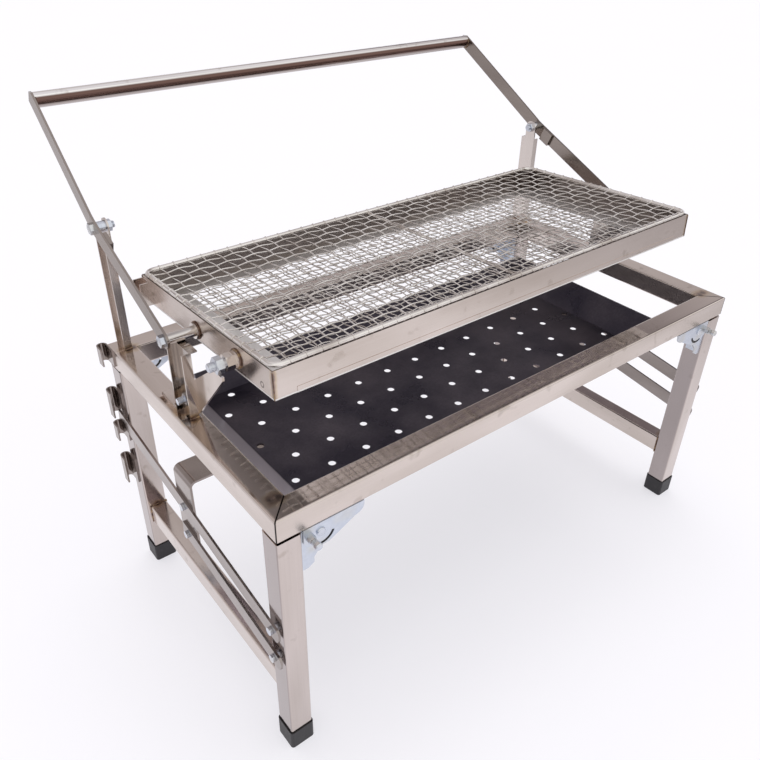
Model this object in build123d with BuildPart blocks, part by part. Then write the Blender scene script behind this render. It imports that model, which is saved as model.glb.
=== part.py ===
from build123d import *
import os
from math import atan2, cos, degrees, hypot, radians, sin

# Rotisserie charcoal grill, in millimetres.
# X runs along the long side, Y to the rear, Z up, and the floor is at Z = 0.
# The left half is drawn, and what the right half repeats is mirrored from it.

os.makedirs("parts", exist_ok=True)


def save(solid, label):
    """Name one piece and write its STEP file."""
    solid.label = label
    export_step(solid, "parts/" + label + ".step")


def mirrored(solid, plane=Plane.YZ):
    """The same piece on the other side of a plane."""
    return mirror(solid, about=plane)


def both(solid, plane=Plane.YZ):
    """A pair of separate solids: the piece and its mirror image."""
    return Compound(children=list(solid.solids()) + list(mirror(solid, about=plane).solids()))


# Clearances
running_clearance = 0.05
turning_gap = 0.3
slide_gap = 0.2

# Square tube frame
frame_length = 800.0
frame_depth = 424.0
frame_top = 386.0
tube = 30.0
tube_wall = 1.5
tube_round = 2.5

# Legs and feet
leg_gap = 2.0
cap_height = 30.0
cap_wall = 1.5
cap_floor = 3.0
brace_width = 25.0
brace_height = 30.0
brace_bottom = 82.0
brace_inset = 5.0

# Folding leg plates
plate_thick = 2.0
plate_gap = 0.5
fold_reach = 23.0
fold_drop = 12.0
wing_length = 57.0
leg_wing = 47.0
flange_depth = 22.0
rivet_radius = 3.0
rivet_head_radius = 5.5
rivet_head = 2.5
guide_slot_radius = 17.0
guide_slot_width = 3.5
plate_round = 20.5

# Spring lock pins
pin_radius = 2.5
pin_out = 19.0
pin_knob_radius = 4.5
pin_knob = 5.0
pin_boss_radius = 5.0
pin_boss = 7.0
pin_beside = 14.0

# Lever posts
post_inset = 23.0
post_depth = 10.0
post_width = 28.0
post_wall = 2.0
tongue_radius = 10.0
tongue_rise = 19.0
pivot_inset = 20.0
pivot_rise = 168.0

# Lift lever
lever_spacer = 11.0
lever_spacer_radius = 7.0
lever_thick = 3.0
lever_width = 20.0
lever_lean = 2.8
lever_bend_start = 12.0
handle_back = 181.5
handle_up = 111.0
handle_radius = 10.0
handle_wall = 1.5
handle_end = 10.0
stop_plate_start = 20.0
stop_plate_length = 20.0
stop_plate_thick = 4.5
stop_plate_width = 21.0
bolt_radius = 4.0
bolt_head = 5.3
bolt_hex = 6.5

# Shaft and its posts
shaft_rise = 92.5
shaft_back = 22.0
shaft_radius = 6.5
collar_radius = 9.5
collar_length = 4.0
shaft_post_width = 40.0
shaft_post_front = -10.0
shaft_post_depth = 11.0
shelf_gap = 1.5
arm_thick = 3.0
arm_bolt_height = 16.0
arm_bolt_out = 9.0

# Basket
basket_end_gap = 47.0
basket_front = 168.0
basket_rear = 144.0
basket_tilt = 3.0
tray_height = 34.0
tray_wall = 1.5
tray_flange = 20.0
tray_lift = 4.0
stub_front = 94.0
stub_radius = 5.0
stub_hex = 8.5
stub_coupling = 11.0
stub_nut = 8.0
stub_nut_gap = 3.0
stub_end = 8.0
stub_ring_radius = 10.0
stub_ring = 4.0
stop_depth = 14.0
stop_width = 22.0
stop_wall = 2.0
stop_height = 30.0
stop_from_rear = 4.0

# Nets
net_thick = 2.0
net_columns = 24
net_rows = 12
net_wire = 2.5
net_overlap = 8.0
rim_radius = 3.0
rim_corner = 12.0
cross_rod_radius = 2.0
cross_rod_x = 0.0

# Charcoal pan
pan_end_gap = 25.0
pan_side_gap = 28.0
pan_height = 36.0
pan_flare_ends = 37.0
pan_flare_sides = 16.0
pan_wall = 1.5
pan_hole_radius = 5.0
pan_hole_edge_x = 11.0
pan_hole_edge_y = 12.9
pan_columns = 12
pan_rows = 3

# Pan height gear
hanger_thick = 3.0
hanger_width = 45.0
hanger_y = 12.0
hanger_top = 296.5
hanger_bottom = 180.0
hanger_bend = 9.0
hanger_under_pan = 23.0
bar_thick = 3.0
bar_width = 22.0
bar_gap = 3.0
bar_slope = 8.53
bar_pivot_inset = 17.0
bar_front_overhang = 15.0
bar_tail_short = 6.5
height_bar_z = 214.0
link_bar_z = 166.0
link_bar_overhang = 14.0
screw_radius = 2.5
screw_head_radius = 5.0
screw_head = 3.5
screw_nut = 4.0

# Catches for the height bars
catch_thick = 2.0
catch_radius = 5.0
catch_leaf = 20.0
catch_lip = 12.0
rail_catch_low = 4.0
rail_catch_high = 30.0
leg_catches = [(157.0, 200.0), (235.0, 259.0), (275.0, 316.0)]

# Places that follow from the sizes
half_length = frame_length / 2
rail_bottom = frame_top - tube
leg_top = rail_bottom - leg_gap
lever_angle = degrees(atan2(handle_up, handle_back))
lever_reach = hypot(handle_back, handle_up) + handle_end
lever_lean_shift = lever_thick * sin(radians(lever_lean))
lever_tip_back = (lever_reach + lever_lean_shift) * cos(radians(lever_angle))
lever_rear = lever_tip_back + lever_width / 2 * sin(radians(lever_angle))
front_reach = frame_depth / 2 + pin_out
rear_reach = frame_depth / 2 - pivot_inset + lever_rear
mid_y = (front_reach - rear_reach) / 2
front_y = mid_y - frame_depth / 2
rear_y = mid_y + frame_depth / 2
middle_plane = Plane.XZ.offset(-mid_y)

fold_x = -half_length + tube + fold_reach
fold_z = rail_bottom - fold_drop
web_x = -half_length + post_inset
pivot_y = rear_y - pivot_inset
pivot_z = frame_top + pivot_rise
lever_in = web_x - post_wall - lever_spacer
lever_out = lever_in - lever_thick
handle_y = pivot_y + handle_back
handle_z = pivot_z + handle_up
shaft_y = mid_y + shaft_back
shaft_z = frame_top + shaft_rise
shaft_end = lever_in + slide_gap
basket_end = -half_length + basket_end_gap
basket_length = -2 * basket_end
basket_depth = basket_front + basket_rear
basket_middle = (basket_rear - basket_front) / 2
tray_low = tray_lift - tray_height / 2
tray_high = tray_lift + tray_height / 2
basket = Plane(
    origin=(0, shaft_y, shaft_z),
    x_dir=(1, 0, 0),
    z_dir=(0, sin(radians(basket_tilt)), cos(radians(basket_tilt))),
)
stub_y = basket.from_local_coords(Vector(0, -stub_front, tray_lift)).Y
stub_z = basket.from_local_coords(Vector(0, -stub_front, tray_lift)).Z
bar_out = -half_length - bar_gap - bar_thick
bar_pivot_y = front_y + bar_pivot_inset
bar_rear_reach = (frame_depth - bar_pivot_inset - bar_tail_short) / cos(radians(bar_slope))
hanger_mid_y = mid_y + hanger_y
bar_rise = (hanger_mid_y - bar_pivot_y) * sin(radians(bar_slope)) / cos(radians(bar_slope))
bar_run = (hanger_mid_y - bar_pivot_y) / cos(radians(bar_slope))
hanger_out = -half_length - bar_gap + slide_gap
pan_length = frame_length - 2 * (tube + pan_end_gap + pan_flare_ends)
pan_depth = frame_depth - 2 * (tube + pan_side_gap + pan_flare_sides)
pan_hole_pitch_x = (pan_length - 2 * pan_hole_edge_x) / (pan_columns - 1)
pan_hole_pitch_y = (pan_depth - 2 * pan_hole_edge_y) / pan_rows

# Frame rails
rail_mid_z = frame_top - tube / 2

with BuildPart() as front_rail:
    with BuildSketch(Plane.YZ.offset(-half_length)):
        with Locations((front_y + tube / 2, rail_mid_z)):
            RectangleRounded(tube, tube, tube_round)
            Rectangle(tube - 2 * tube_wall, tube - 2 * tube_wall, mode=Mode.SUBTRACT)
    extrude(amount=frame_length)
    with BuildSketch(Plane.XY.offset(rail_bottom)):
        with BuildLine():
            Polyline(
                (-half_length, front_y),
                (-half_length + tube, front_y + tube),
                (-half_length, front_y + tube),
                close=True,
            )
        make_face()
        mirror(about=Plane.YZ)
    extrude(amount=tube, mode=Mode.SUBTRACT)
save(front_rail.part, "front_rail")

with BuildPart() as rear_rail:
    with BuildSketch(Plane.YZ.offset(-half_length)):
        with Locations((rear_y - tube / 2, rail_mid_z)):
            RectangleRounded(tube, tube, tube_round)
    extrude(amount=frame_length)
    with BuildSketch(Plane.YZ.offset(-half_length + tube_wall)):
        with Locations((rear_y - tube / 2, rail_mid_z)):
            Rectangle(tube - 2 * tube_wall, tube - 2 * tube_wall)
    extrude(amount=frame_length - 2 * tube_wall, mode=Mode.SUBTRACT)
save(rear_rail.part, "rear_rail")

with BuildPart() as left_rail:
    with BuildSketch(Plane.XZ.offset(-front_y)):
        with Locations((-half_length + tube / 2, rail_mid_z)):
            RectangleRounded(tube, tube, tube_round)
            Rectangle(tube - 2 * tube_wall, tube - 2 * tube_wall, mode=Mode.SUBTRACT)
    extrude(amount=-(frame_depth - tube))
    with BuildSketch(Plane.XY.offset(rail_bottom)):
        with BuildLine():
            Polyline(
                (-half_length, front_y),
                (-half_length + tube, front_y + tube),
                (-half_length + tube, front_y),
                close=True,
            )
        make_face()
    extrude(amount=tube, mode=Mode.SUBTRACT)
save(left_rail.part, "left_rail")
save(mirrored(left_rail.part), "right_rail")

# Legs: a square tube closed at the top, with holes for the bar screws in the front one
with BuildPart() as plain_leg:
    with BuildSketch(Plane.XY.offset(cap_floor)):
        with Locations((-half_length + tube / 2, front_y + tube / 2)):
            RectangleRounded(tube, tube, tube_round)
    extrude(amount=leg_top - cap_floor)
    with BuildSketch(Plane.XY.offset(cap_floor)):
        with Locations((-half_length + tube / 2, front_y + tube / 2)):
            Rectangle(tube - 2 * tube_wall, tube - 2 * tube_wall)
    extrude(amount=leg_top - cap_floor - tube_wall, mode=Mode.SUBTRACT)

with BuildPart() as left_front_leg:
    add(plain_leg.part)
    with BuildSketch(Plane.YZ.offset(-half_length)):
        with Locations((bar_pivot_y, height_bar_z), (bar_pivot_y, link_bar_z)):
            Circle(screw_radius + running_clearance)
    extrude(amount=tube_wall, mode=Mode.SUBTRACT)
save(left_front_leg.part, "left_front_leg")
save(mirrored(left_front_leg.part), "right_front_leg")
left_rear_leg = mirrored(plain_leg.part, middle_plane)
save(left_rear_leg, "left_rear_leg")
save(mirrored(left_rear_leg), "right_rear_leg")

with BuildPart() as foot_cap:
    with BuildSketch(Plane.XY):
        with Locations((-half_length + tube / 2, front_y + tube / 2)):
            RectangleRounded(tube + 2 * cap_wall, tube + 2 * cap_wall, tube_round + cap_wall)
    extrude(amount=cap_height)
    with BuildSketch(Plane.XY.offset(cap_floor)):
        with Locations((-half_length + tube / 2, front_y + tube / 2)):
            RectangleRounded(tube + 2 * slide_gap, tube + 2 * slide_gap, tube_round)
    extrude(amount=cap_height, mode=Mode.SUBTRACT)
    chamfer(foot_cap.faces().sort_by(Axis.Z)[0].edges(), cap_wall / 2)
foot_caps = both(foot_cap.part, middle_plane)
save(foot_caps, "left_foot_caps")
save(mirrored(foot_caps), "right_foot_caps")

with BuildPart() as left_leg_brace:
    with BuildSketch(Plane.XZ.offset(-(front_y + tube))):
        with Locations((-half_length + brace_inset + brace_width / 2, brace_bottom + brace_height / 2)):
            RectangleRounded(brace_width, brace_height, tube_round)
            Rectangle(brace_width - 2 * tube_wall, brace_height - 2 * tube_wall, mode=Mode.SUBTRACT)
    extrude(amount=-(frame_depth - 2 * tube))
save(left_leg_brace.part, "left_leg_brace")
save(mirrored(left_leg_brace.part), "right_leg_brace")

# Folding plates: one fixed under the rail, one on the leg, joined by a rivet
flange_left = fold_x - fold_reach + plate_thick

with BuildPart() as rail_plate:
    with BuildSketch(Plane.XZ.offset(-front_y)):
        with BuildLine():
            l1 = Line((flange_left, rail_bottom), (fold_x + wing_length, rail_bottom))
            l2 = Line(l1 @ 1, (fold_x + wing_length, rail_bottom - fold_drop / 2))
            l3 = ThreePointArc(
                l2 @ 1,
                (fold_x + wing_length * 0.93, fold_z),
                (fold_x + wing_length * 0.79, fold_z - fold_drop / 4),
            )
            l4 = ThreePointArc(
                l3 @ 1,
                (fold_x + wing_length * 0.54, fold_z - plate_round / 2),
                (fold_x + plate_round / 2, fold_z - plate_round),
            )
            l5 = Line(l4 @ 1, (fold_x - plate_round / 3, fold_z - plate_round))
            l6 = ThreePointArc(
                l5 @ 1,
                (fold_x - plate_round * 0.72, fold_z - plate_round * 0.72),
                (flange_left, fold_z - plate_round / 3),
            )
            Line(l6 @ 1, l1 @ 0)
        make_face()
        with BuildLine(mode=Mode.PRIVATE) as guide:
            CenterArc((fold_x, fold_z), guide_slot_radius, -115, 90)
        SlotArc(guide.edge(), guide_slot_width, mode=Mode.SUBTRACT)
        with Locations((fold_x, fold_z)):
            Circle(rivet_radius + running_clearance, mode=Mode.SUBTRACT)
    extrude(amount=-plate_thick)
    with BuildSketch(Plane.XZ.offset(-front_y)):
        with Locations((fold_x - pin_beside, fold_z)):
            Circle(pin_boss_radius)
    extrude(amount=pin_boss)
    with BuildSketch(Plane.XZ.offset(-front_y - plate_thick)):
        with Locations((fold_x - pin_beside, fold_z)):
            Circle(pin_radius + running_clearance)
    extrude(amount=pin_boss + plate_thick, mode=Mode.SUBTRACT)
    with BuildSketch(Plane.XY.offset(rail_bottom)):
        with Locations((flange_left, front_y)):
            Rectangle(fold_x + wing_length - flange_left, flange_depth, align=(Align.MIN, Align.MIN))
    extrude(amount=-plate_thick)
save(rail_plate.part, "front_left_rail_plate")
save(mirrored(rail_plate.part), "front_right_rail_plate")
rear_plate = mirrored(rail_plate.part, middle_plane)
save(rear_plate, "rear_left_rail_plate")
save(mirrored(rear_plate), "rear_right_rail_plate")

leg_plate_y = front_y + plate_thick + plate_gap
leg_face = fold_x - fold_reach
head_radius = fold_drop - plate_thick - 1.0

with BuildPart() as leg_plate:
    with BuildSketch(Plane.XZ.offset(-leg_plate_y)):
        with BuildLine():
            Polyline(
                (leg_face, fold_z + head_radius),
                (fold_x, fold_z + head_radius),
                (fold_x, fold_z - head_radius),
                (fold_x, fold_z - leg_wing * 0.55),
                (fold_x - head_radius * 0.85, fold_z - leg_wing * 0.75),
                (fold_x - head_radius * 0.85, fold_z - leg_wing * 0.9),
                (leg_face + fold_reach / 3, fold_z - leg_wing),
                (leg_face, fold_z - leg_wing),
                close=True,
            )
        make_face()
        with Locations((fold_x, fold_z)):
            Circle(head_radius)
            Circle(rivet_radius + running_clearance, mode=Mode.SUBTRACT)
    extrude(amount=-plate_thick)
    with BuildSketch(Plane.XY.offset(fold_z - leg_wing)):
        with Locations((leg_face, leg_plate_y)):
            Rectangle(plate_thick, flange_depth, align=(Align.MIN, Align.MIN))
    extrude(amount=leg_wing + head_radius)
leg_plates = both(leg_plate.part, middle_plane)
save(leg_plates, "left_leg_plates")
save(mirrored(leg_plates), "right_leg_plates")

rivet_tail_y = leg_plate_y + plate_thick + slide_gap

with BuildPart() as rivet:
    with BuildSketch(Plane.XZ.offset(-front_y)):
        with Locations((fold_x, fold_z)):
            Circle(rivet_head_radius)
    extrude(amount=rivet_head)
    fillet(rivet.faces().sort_by(Axis.Y)[0].edges(), rivet_head * 0.8)
    with BuildSketch(Plane.XZ.offset(-front_y)):
        with Locations((fold_x, fold_z)):
            Circle(rivet_radius)
    extrude(amount=-(rivet_tail_y - front_y))
    with BuildSketch(Plane.XZ.offset(-rivet_tail_y)):
        with Locations((fold_x, fold_z)):
            Circle(rivet_radius * 1.5)
    extrude(amount=-rivet_head)
left_rivets = both(rivet.part, middle_plane)
save(Compound(children=list(left_rivets.solids()) + list(mirrored(left_rivets).solids())), "fold_rivets")

# Lock pins: a spring plunger in the boss of each rail plate
pin_front = front_y - pin_out

with BuildPart() as lock_pin:
    with BuildSketch(Plane.XZ.offset(-front_y - plate_thick)):
        with Locations((fold_x - pin_beside, fold_z)):
            Circle(pin_radius)
    extrude(amount=plate_thick + pin_out)
    with BuildSketch(Plane.XZ.offset(-pin_front - pin_knob)):
        with Locations((fold_x - pin_beside, fold_z)):
            Circle(pin_knob_radius)
    extrude(amount=pin_knob)
    chamfer(lock_pin.faces().sort_by(Axis.Y)[0].edges(), 1.0)
    with BuildSketch(Plane.XZ.offset(-front_y + pin_boss)):
        with Locations((fold_x - pin_beside, fold_z)):
            Circle(pin_knob_radius)
    extrude(amount=plate_thick)
save(lock_pin.part, "front_left_lock_pin")
save(mirrored(lock_pin.part), "front_right_lock_pin")
rear_pin = mirrored(lock_pin.part, middle_plane)
save(rear_pin, "rear_left_lock_pin")
save(mirrored(rear_pin), "rear_right_lock_pin")

# Catches: a strip bent to a J, open to the front, that takes the end of a height bar
catch_mid_x = -half_length - catch_thick - catch_radius


def catch(low, high):
    """One catch on the outer face, between two heights."""
    with BuildPart() as hook:
        with BuildSketch(Plane.XY.offset(low)):
            with Locations((catch_mid_x, rear_y)):
                Circle(catch_radius + catch_thick)
                Circle(catch_radius, mode=Mode.SUBTRACT)
            with Locations((catch_mid_x, rear_y)):
                Rectangle(
                    4 * catch_radius + 2 * catch_thick,
                    2 * (catch_radius + catch_thick),
                    align=(Align.CENTER, Align.MAX),
                    mode=Mode.SUBTRACT,
                )
            with Locations((-half_length, rear_y)):
                Rectangle(catch_thick, catch_leaf, align=(Align.MAX, Align.MAX))
            with Locations((catch_mid_x - catch_radius, rear_y)):
                Rectangle(catch_thick, catch_lip, align=(Align.MAX, Align.MAX))
        extrude(amount=high - low)
    return hook.part


rail_catch = catch(rail_bottom + rail_catch_low, rail_bottom + rail_catch_high)
save(both(rail_catch), "rail_catches")
left_catches = Compound(children=[catch(low, high).solid() for low, high in leg_catches])
save(left_catches, "left_leg_catches")
save(mirrored(left_catches), "right_leg_catches")

# Lever posts: a channel open to the outside, whose web runs on as a round tongue
post_front = rear_y - tube
shoulder_z = pivot_z - tongue_rise

with BuildPart() as left_lever_post:
    with BuildSketch(Plane.XY.offset(frame_top)):
        with Locations((web_x, post_front)):
            Rectangle(post_depth, post_width, align=(Align.MAX, Align.MIN))
        with Locations((web_x - post_wall, post_front + post_wall)):
            Rectangle(
                post_depth,
                post_width - 2 * post_wall,
                align=(Align.MAX, Align.MIN),
                mode=Mode.SUBTRACT,
            )
    extrude(amount=shoulder_z - frame_top)
    with BuildSketch(Plane.YZ.offset(web_x)):
        with Locations((pivot_y, pivot_z)):
            Circle(tongue_radius)
        with Locations((pivot_y, shoulder_z)):
            Rectangle(2 * tongue_radius, tongue_rise, align=(Align.CENTER, Align.MIN))
        with Locations((pivot_y, pivot_z)):
            Circle(bolt_radius + running_clearance, mode=Mode.SUBTRACT)
    extrude(amount=-post_wall)
save(left_lever_post.part, "left_lever_post")
save(mirrored(left_lever_post.part), "right_lever_post")

# Lift lever: two bent flat bars, which lean in towards the round handle between them
elbow_angle = degrees(atan2(pivot_z - shaft_z, pivot_y - shaft_y))
elbow_run = hypot(pivot_y - shaft_y, pivot_z - shaft_z)
lever_run = cos(radians(lever_angle))
lever_climb = sin(radians(lever_angle))
lean_in = sin(radians(lever_lean))
lean_along = cos(radians(lever_lean))
lean_plane = Plane(
    origin=(lever_in, pivot_y + lever_bend_start * lever_run, pivot_z + lever_bend_start * lever_climb),
    x_dir=(lean_in, lean_along * lever_run, lean_along * lever_climb),
    z_dir=(-lean_along, lean_in * lever_run, lean_in * lever_climb),
)

with BuildPart() as left_lever_arm:
    with BuildSketch(Plane.YZ.offset(lever_in)):
        with Locations((pivot_y, pivot_z)):
            Circle(lever_width / 2)
        with Locations(Location((pivot_y, pivot_z, 0), (0, 0, lever_angle))):
            Rectangle(lever_bend_start + lever_lean_shift, lever_width, align=(Align.MIN, Align.CENTER))
        with Locations(Location((pivot_y, pivot_z, 0), (0, 0, 180 + elbow_angle))):
            Rectangle(elbow_run, lever_width, align=(Align.MIN, Align.CENTER))
        with Locations((shaft_y, shaft_z)):
            Circle(lever_width / 2)
        with Locations((pivot_y, pivot_z), (shaft_y, shaft_z)):
            Circle(bolt_radius + running_clearance, mode=Mode.SUBTRACT)
    extrude(amount=-lever_thick)
    with BuildSketch(lean_plane):
        Rectangle((lever_reach - lever_bend_start) / lean_along, lever_width, align=(Align.MIN, Align.CENTER))
    extrude(amount=lever_thick)
    with BuildSketch(Plane.XY.offset(handle_z + handle_radius)):
        with Locations((lever_in, handle_y)):
            Rectangle(2 * lever_width, 2 * lever_width)
    extrude(amount=lever_width, mode=Mode.SUBTRACT)
save(left_lever_arm.part, "left_lever_arm")
save(mirrored(left_lever_arm.part), "right_lever_arm")

with BuildPart() as stop_plate:
    with BuildSketch(Plane.YZ.offset(lever_in)):
        with Locations(Location((pivot_y, pivot_z, 0), (0, 0, 180 + elbow_angle))):
            with Locations((stop_plate_start, 0)):
                Rectangle(stop_plate_length, stop_plate_width, align=(Align.MIN, Align.CENTER))
    extrude(amount=stop_plate_thick)
save(both(stop_plate.part), "lever_stop_plates")

with BuildPart() as handle_bar:
    with BuildSketch(Plane.YZ.offset(lever_in)):
        with Locations((handle_y, handle_z)):
            Circle(handle_radius)
            Circle(handle_radius - handle_wall, mode=Mode.SUBTRACT)
    extrude(amount=-lever_in)
    split(bisect_by=lean_plane, keep=Keep.BOTTOM)
    mirror(about=Plane.YZ)
save(handle_bar.part, "handle_bar")

with BuildPart() as pivot_bolt:
    with BuildSketch(Plane.YZ.offset(lever_out)):
        with Locations((pivot_y, pivot_z)):
            RegularPolygon(bolt_hex, 6, major_radius=False)
    extrude(amount=-bolt_head)
    with BuildSketch(Plane.YZ.offset(lever_out)):
        with Locations((pivot_y, pivot_z)):
            Circle(bolt_radius)
    extrude(amount=web_x + bolt_head + bolt_radius - lever_out)

with BuildPart() as pivot_nut:
    with BuildSketch(Plane.YZ.offset(web_x)):
        with Locations((pivot_y, pivot_z)):
            RegularPolygon(bolt_hex, 6, major_radius=False)
            Circle(bolt_radius + running_clearance, mode=Mode.SUBTRACT)
    extrude(amount=bolt_head)

with BuildPart() as pivot_spacer:
    with BuildSketch(Plane.YZ.offset(lever_in)):
        with Locations((pivot_y, pivot_z)):
            Circle(lever_spacer_radius)
            Circle(bolt_radius + running_clearance, mode=Mode.SUBTRACT)
    extrude(amount=lever_spacer)
pivot_set = [pivot_bolt.part.solid(), pivot_nut.part.solid()]
save(both(Compound(children=pivot_set)), "pivot_bolts")
save(both(pivot_spacer.part), "pivot_spacers")

# Shaft posts: a channel on each side rail, with a shelf turned in at its top under the basket shaft
# The shelf stays clear of the stop brackets, which swing past it
shaft_post_y = mid_y + shaft_post_front
shaft_post_top = shaft_z - shaft_radius - turning_gap
arm_bolt_y = shaft_post_y + shaft_post_width / 2
arm_bolt_z = frame_top + arm_bolt_height

with BuildPart() as left_shaft_post:
    with BuildSketch(Plane.XY.offset(frame_top)):
        with Locations((web_x, shaft_post_y)):
            Rectangle(shaft_post_depth, shaft_post_width, align=(Align.MAX, Align.MIN))
        with Locations((web_x - post_wall, shaft_post_y + post_wall)):
            Rectangle(
                shaft_post_depth,
                shaft_post_width - 2 * post_wall,
                align=(Align.MAX, Align.MIN),
                mode=Mode.SUBTRACT,
            )
    extrude(amount=shaft_post_top - frame_top)
    with BuildSketch(Plane.XY.offset(shaft_post_top)):
        with Locations((web_x - post_wall, shaft_post_y + post_wall)):
            Rectangle(
                basket_end - stop_depth - shelf_gap - web_x + post_wall,
                shaft_post_width - 2 * post_wall,
                align=(Align.MIN, Align.MIN),
            )
    extrude(amount=-post_wall)
    with BuildSketch(Plane.YZ.offset(web_x)):
        with Locations((arm_bolt_y, arm_bolt_z)):
            Circle(bolt_radius + running_clearance)
    extrude(amount=-post_wall, mode=Mode.SUBTRACT)
save(left_shaft_post.part, "left_shaft_post")
save(mirrored(left_shaft_post.part), "right_shaft_post")

# Rest arms: a plate bolted to each shaft post that the front stub comes down on
stub_corner = stub_hex / cos(radians(30))
arm_top = stub_z - stub_corner - turning_gap

with BuildPart() as left_rest_arm:
    with BuildSketch(Plane.YZ.offset(web_x)):
        with BuildLine():
            Polyline(
                (shaft_post_y + shaft_post_width, frame_top + arm_bolt_height / 4),
                (shaft_post_y + shaft_post_width, frame_top + 2.4 * arm_bolt_height),
                (shaft_post_y, frame_top + 3.2 * arm_bolt_height),
                (stub_y + stub_corner, arm_top),
                (stub_y - stub_corner, arm_top),
                (stub_y - stub_corner, arm_top - stub_corner / 2),
                (shaft_post_y, frame_top + arm_bolt_height / 4),
                close=True,
            )
        make_face()
        with Locations((arm_bolt_y, arm_bolt_z)):
            Circle(bolt_radius + running_clearance, mode=Mode.SUBTRACT)
    extrude(amount=arm_thick)
save(left_rest_arm.part, "left_rest_arm")
save(mirrored(left_rest_arm.part), "right_rest_arm")

arm_face = web_x + arm_thick
nut_face = web_x - post_wall

with BuildPart() as arm_bolt:
    with BuildSketch(Plane.YZ.offset(arm_face)):
        with Locations((arm_bolt_y, arm_bolt_z)):
            RegularPolygon(bolt_hex, 6, major_radius=False)
    extrude(amount=bolt_head)
    with BuildSketch(Plane.YZ.offset(arm_face)):
        with Locations((arm_bolt_y, arm_bolt_z)):
            Circle(bolt_radius)
    extrude(amount=-(arm_face - nut_face + bolt_head + arm_bolt_out))

with BuildPart() as arm_nut:
    with BuildSketch(Plane.YZ.offset(nut_face)):
        with Locations((arm_bolt_y, arm_bolt_z)):
            RegularPolygon(bolt_hex, 6, major_radius=False)
            Circle(bolt_radius + running_clearance, mode=Mode.SUBTRACT)
    extrude(amount=-bolt_head)
save(both(Compound(children=[arm_bolt.part.solid(), arm_nut.part.solid()])), "rest_arm_bolts")

# Basket tray: four walls with a flange turned in along the bottom
with BuildPart() as basket_tray:
    with BuildSketch(basket.offset(tray_low)):
        with Locations((0, basket_middle)):
            Rectangle(basket_length, basket_depth)
    extrude(amount=tray_height)
    with BuildSketch(basket.offset(tray_low + tray_wall)):
        with Locations((0, basket_middle)):
            Rectangle(basket_length - 2 * tray_wall, basket_depth - 2 * tray_wall)
    extrude(amount=tray_height, mode=Mode.SUBTRACT)
    with BuildSketch(basket.offset(tray_low)):
        with Locations((0, basket_middle)):
            Rectangle(basket_length - 2 * tray_flange, basket_depth - 2 * tray_flange)
    extrude(amount=tray_wall, mode=Mode.SUBTRACT)
save(basket_tray.part, "basket_tray")

# Bottom net: fixed under the flange, across the tray's open floor

net_length = basket_length - 2 * tray_flange + 2 * net_overlap
net_depth = basket_depth - 2 * tray_flange + 2 * net_overlap
net_pitch_x = (net_length - net_wire) / net_columns
net_pitch_y = (net_depth - net_wire) / net_rows

with BuildPart() as bottom_net:
    with BuildSketch(basket.offset(tray_low - net_thick)):
        with Locations((0, basket_middle)):
            Rectangle(net_length, net_depth)
            with GridLocations(net_pitch_x, net_pitch_y, net_columns, net_rows):
                Rectangle(net_pitch_x - net_wire, net_pitch_y - net_wire, mode=Mode.SUBTRACT)
    extrude(amount=net_thick)
save(bottom_net.part, "bottom_net")

# Shaft tubes with their weld collars, and the bolts that hold them in the lever
with BuildPart() as shaft_collar:
    with BuildSketch(Plane.YZ.offset(basket_end)):
        with Locations((shaft_y, shaft_z)):
            Circle(collar_radius)
            Circle(shaft_radius + running_clearance, mode=Mode.SUBTRACT)
    extrude(amount=-collar_length)

with BuildPart() as shaft_tube:
    with BuildSketch(Plane.YZ.offset(basket_end)):
        with Locations((shaft_y, shaft_z)):
            Circle(shaft_radius)
    extrude(amount=shaft_end - basket_end)
    with BuildSketch(Plane.YZ.offset(shaft_end)):
        with Locations((shaft_y, shaft_z)):
            Circle(bolt_radius + running_clearance)
    extrude(amount=lever_spacer, mode=Mode.SUBTRACT)
save(both(Compound(children=[shaft_tube.part.solid(), shaft_collar.part.solid()])), "shaft_tubes")

with BuildPart() as shaft_bolt:
    with BuildSketch(Plane.YZ.offset(lever_out - slide_gap)):
        with Locations((shaft_y, shaft_z)):
            RegularPolygon(bolt_hex, 6, major_radius=False)
    extrude(amount=-bolt_head)
    with BuildSketch(Plane.YZ.offset(lever_out - slide_gap)):
        with Locations((shaft_y, shaft_z)):
            Circle(bolt_radius)
    extrude(amount=shaft_end + lever_spacer - lever_out + slide_gap)
save(both(shaft_bolt.part), "shaft_bolts")

# Front stubs: a coupling nut welded to each end wall, with a set bolt and its lock nut
coupling_face = basket_end - stub_ring - stub_coupling
lock_face = coupling_face - stub_nut_gap

with BuildPart() as stub_coupling_nut:
    with BuildSketch(Plane.YZ.offset(basket_end)):
        with Locations((stub_y, stub_z)):
            Circle(stub_ring_radius)
    extrude(amount=-stub_ring)
    with BuildSketch(Plane.YZ.offset(basket_end - stub_ring)):
        with Locations((stub_y, stub_z)):
            RegularPolygon(stub_hex, 6, major_radius=False)
    extrude(amount=-stub_coupling)
    with BuildSketch(Plane.YZ.offset(basket_end)):
        with Locations((stub_y, stub_z)):
            Circle(stub_radius + running_clearance)
    extrude(amount=-(stub_ring + stub_coupling), mode=Mode.SUBTRACT)
save(both(stub_coupling_nut.part), "stub_couplings")

with BuildPart() as stub_bolt:
    with BuildSketch(Plane.YZ.offset(basket_end)):
        with Locations((stub_y, stub_z)):
            Circle(stub_radius)
    extrude(amount=-(stub_ring + stub_coupling + stub_nut_gap + stub_nut + stub_end))
    chamfer(stub_bolt.faces().sort_by(Axis.X)[0].edges(), 1.0)

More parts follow.
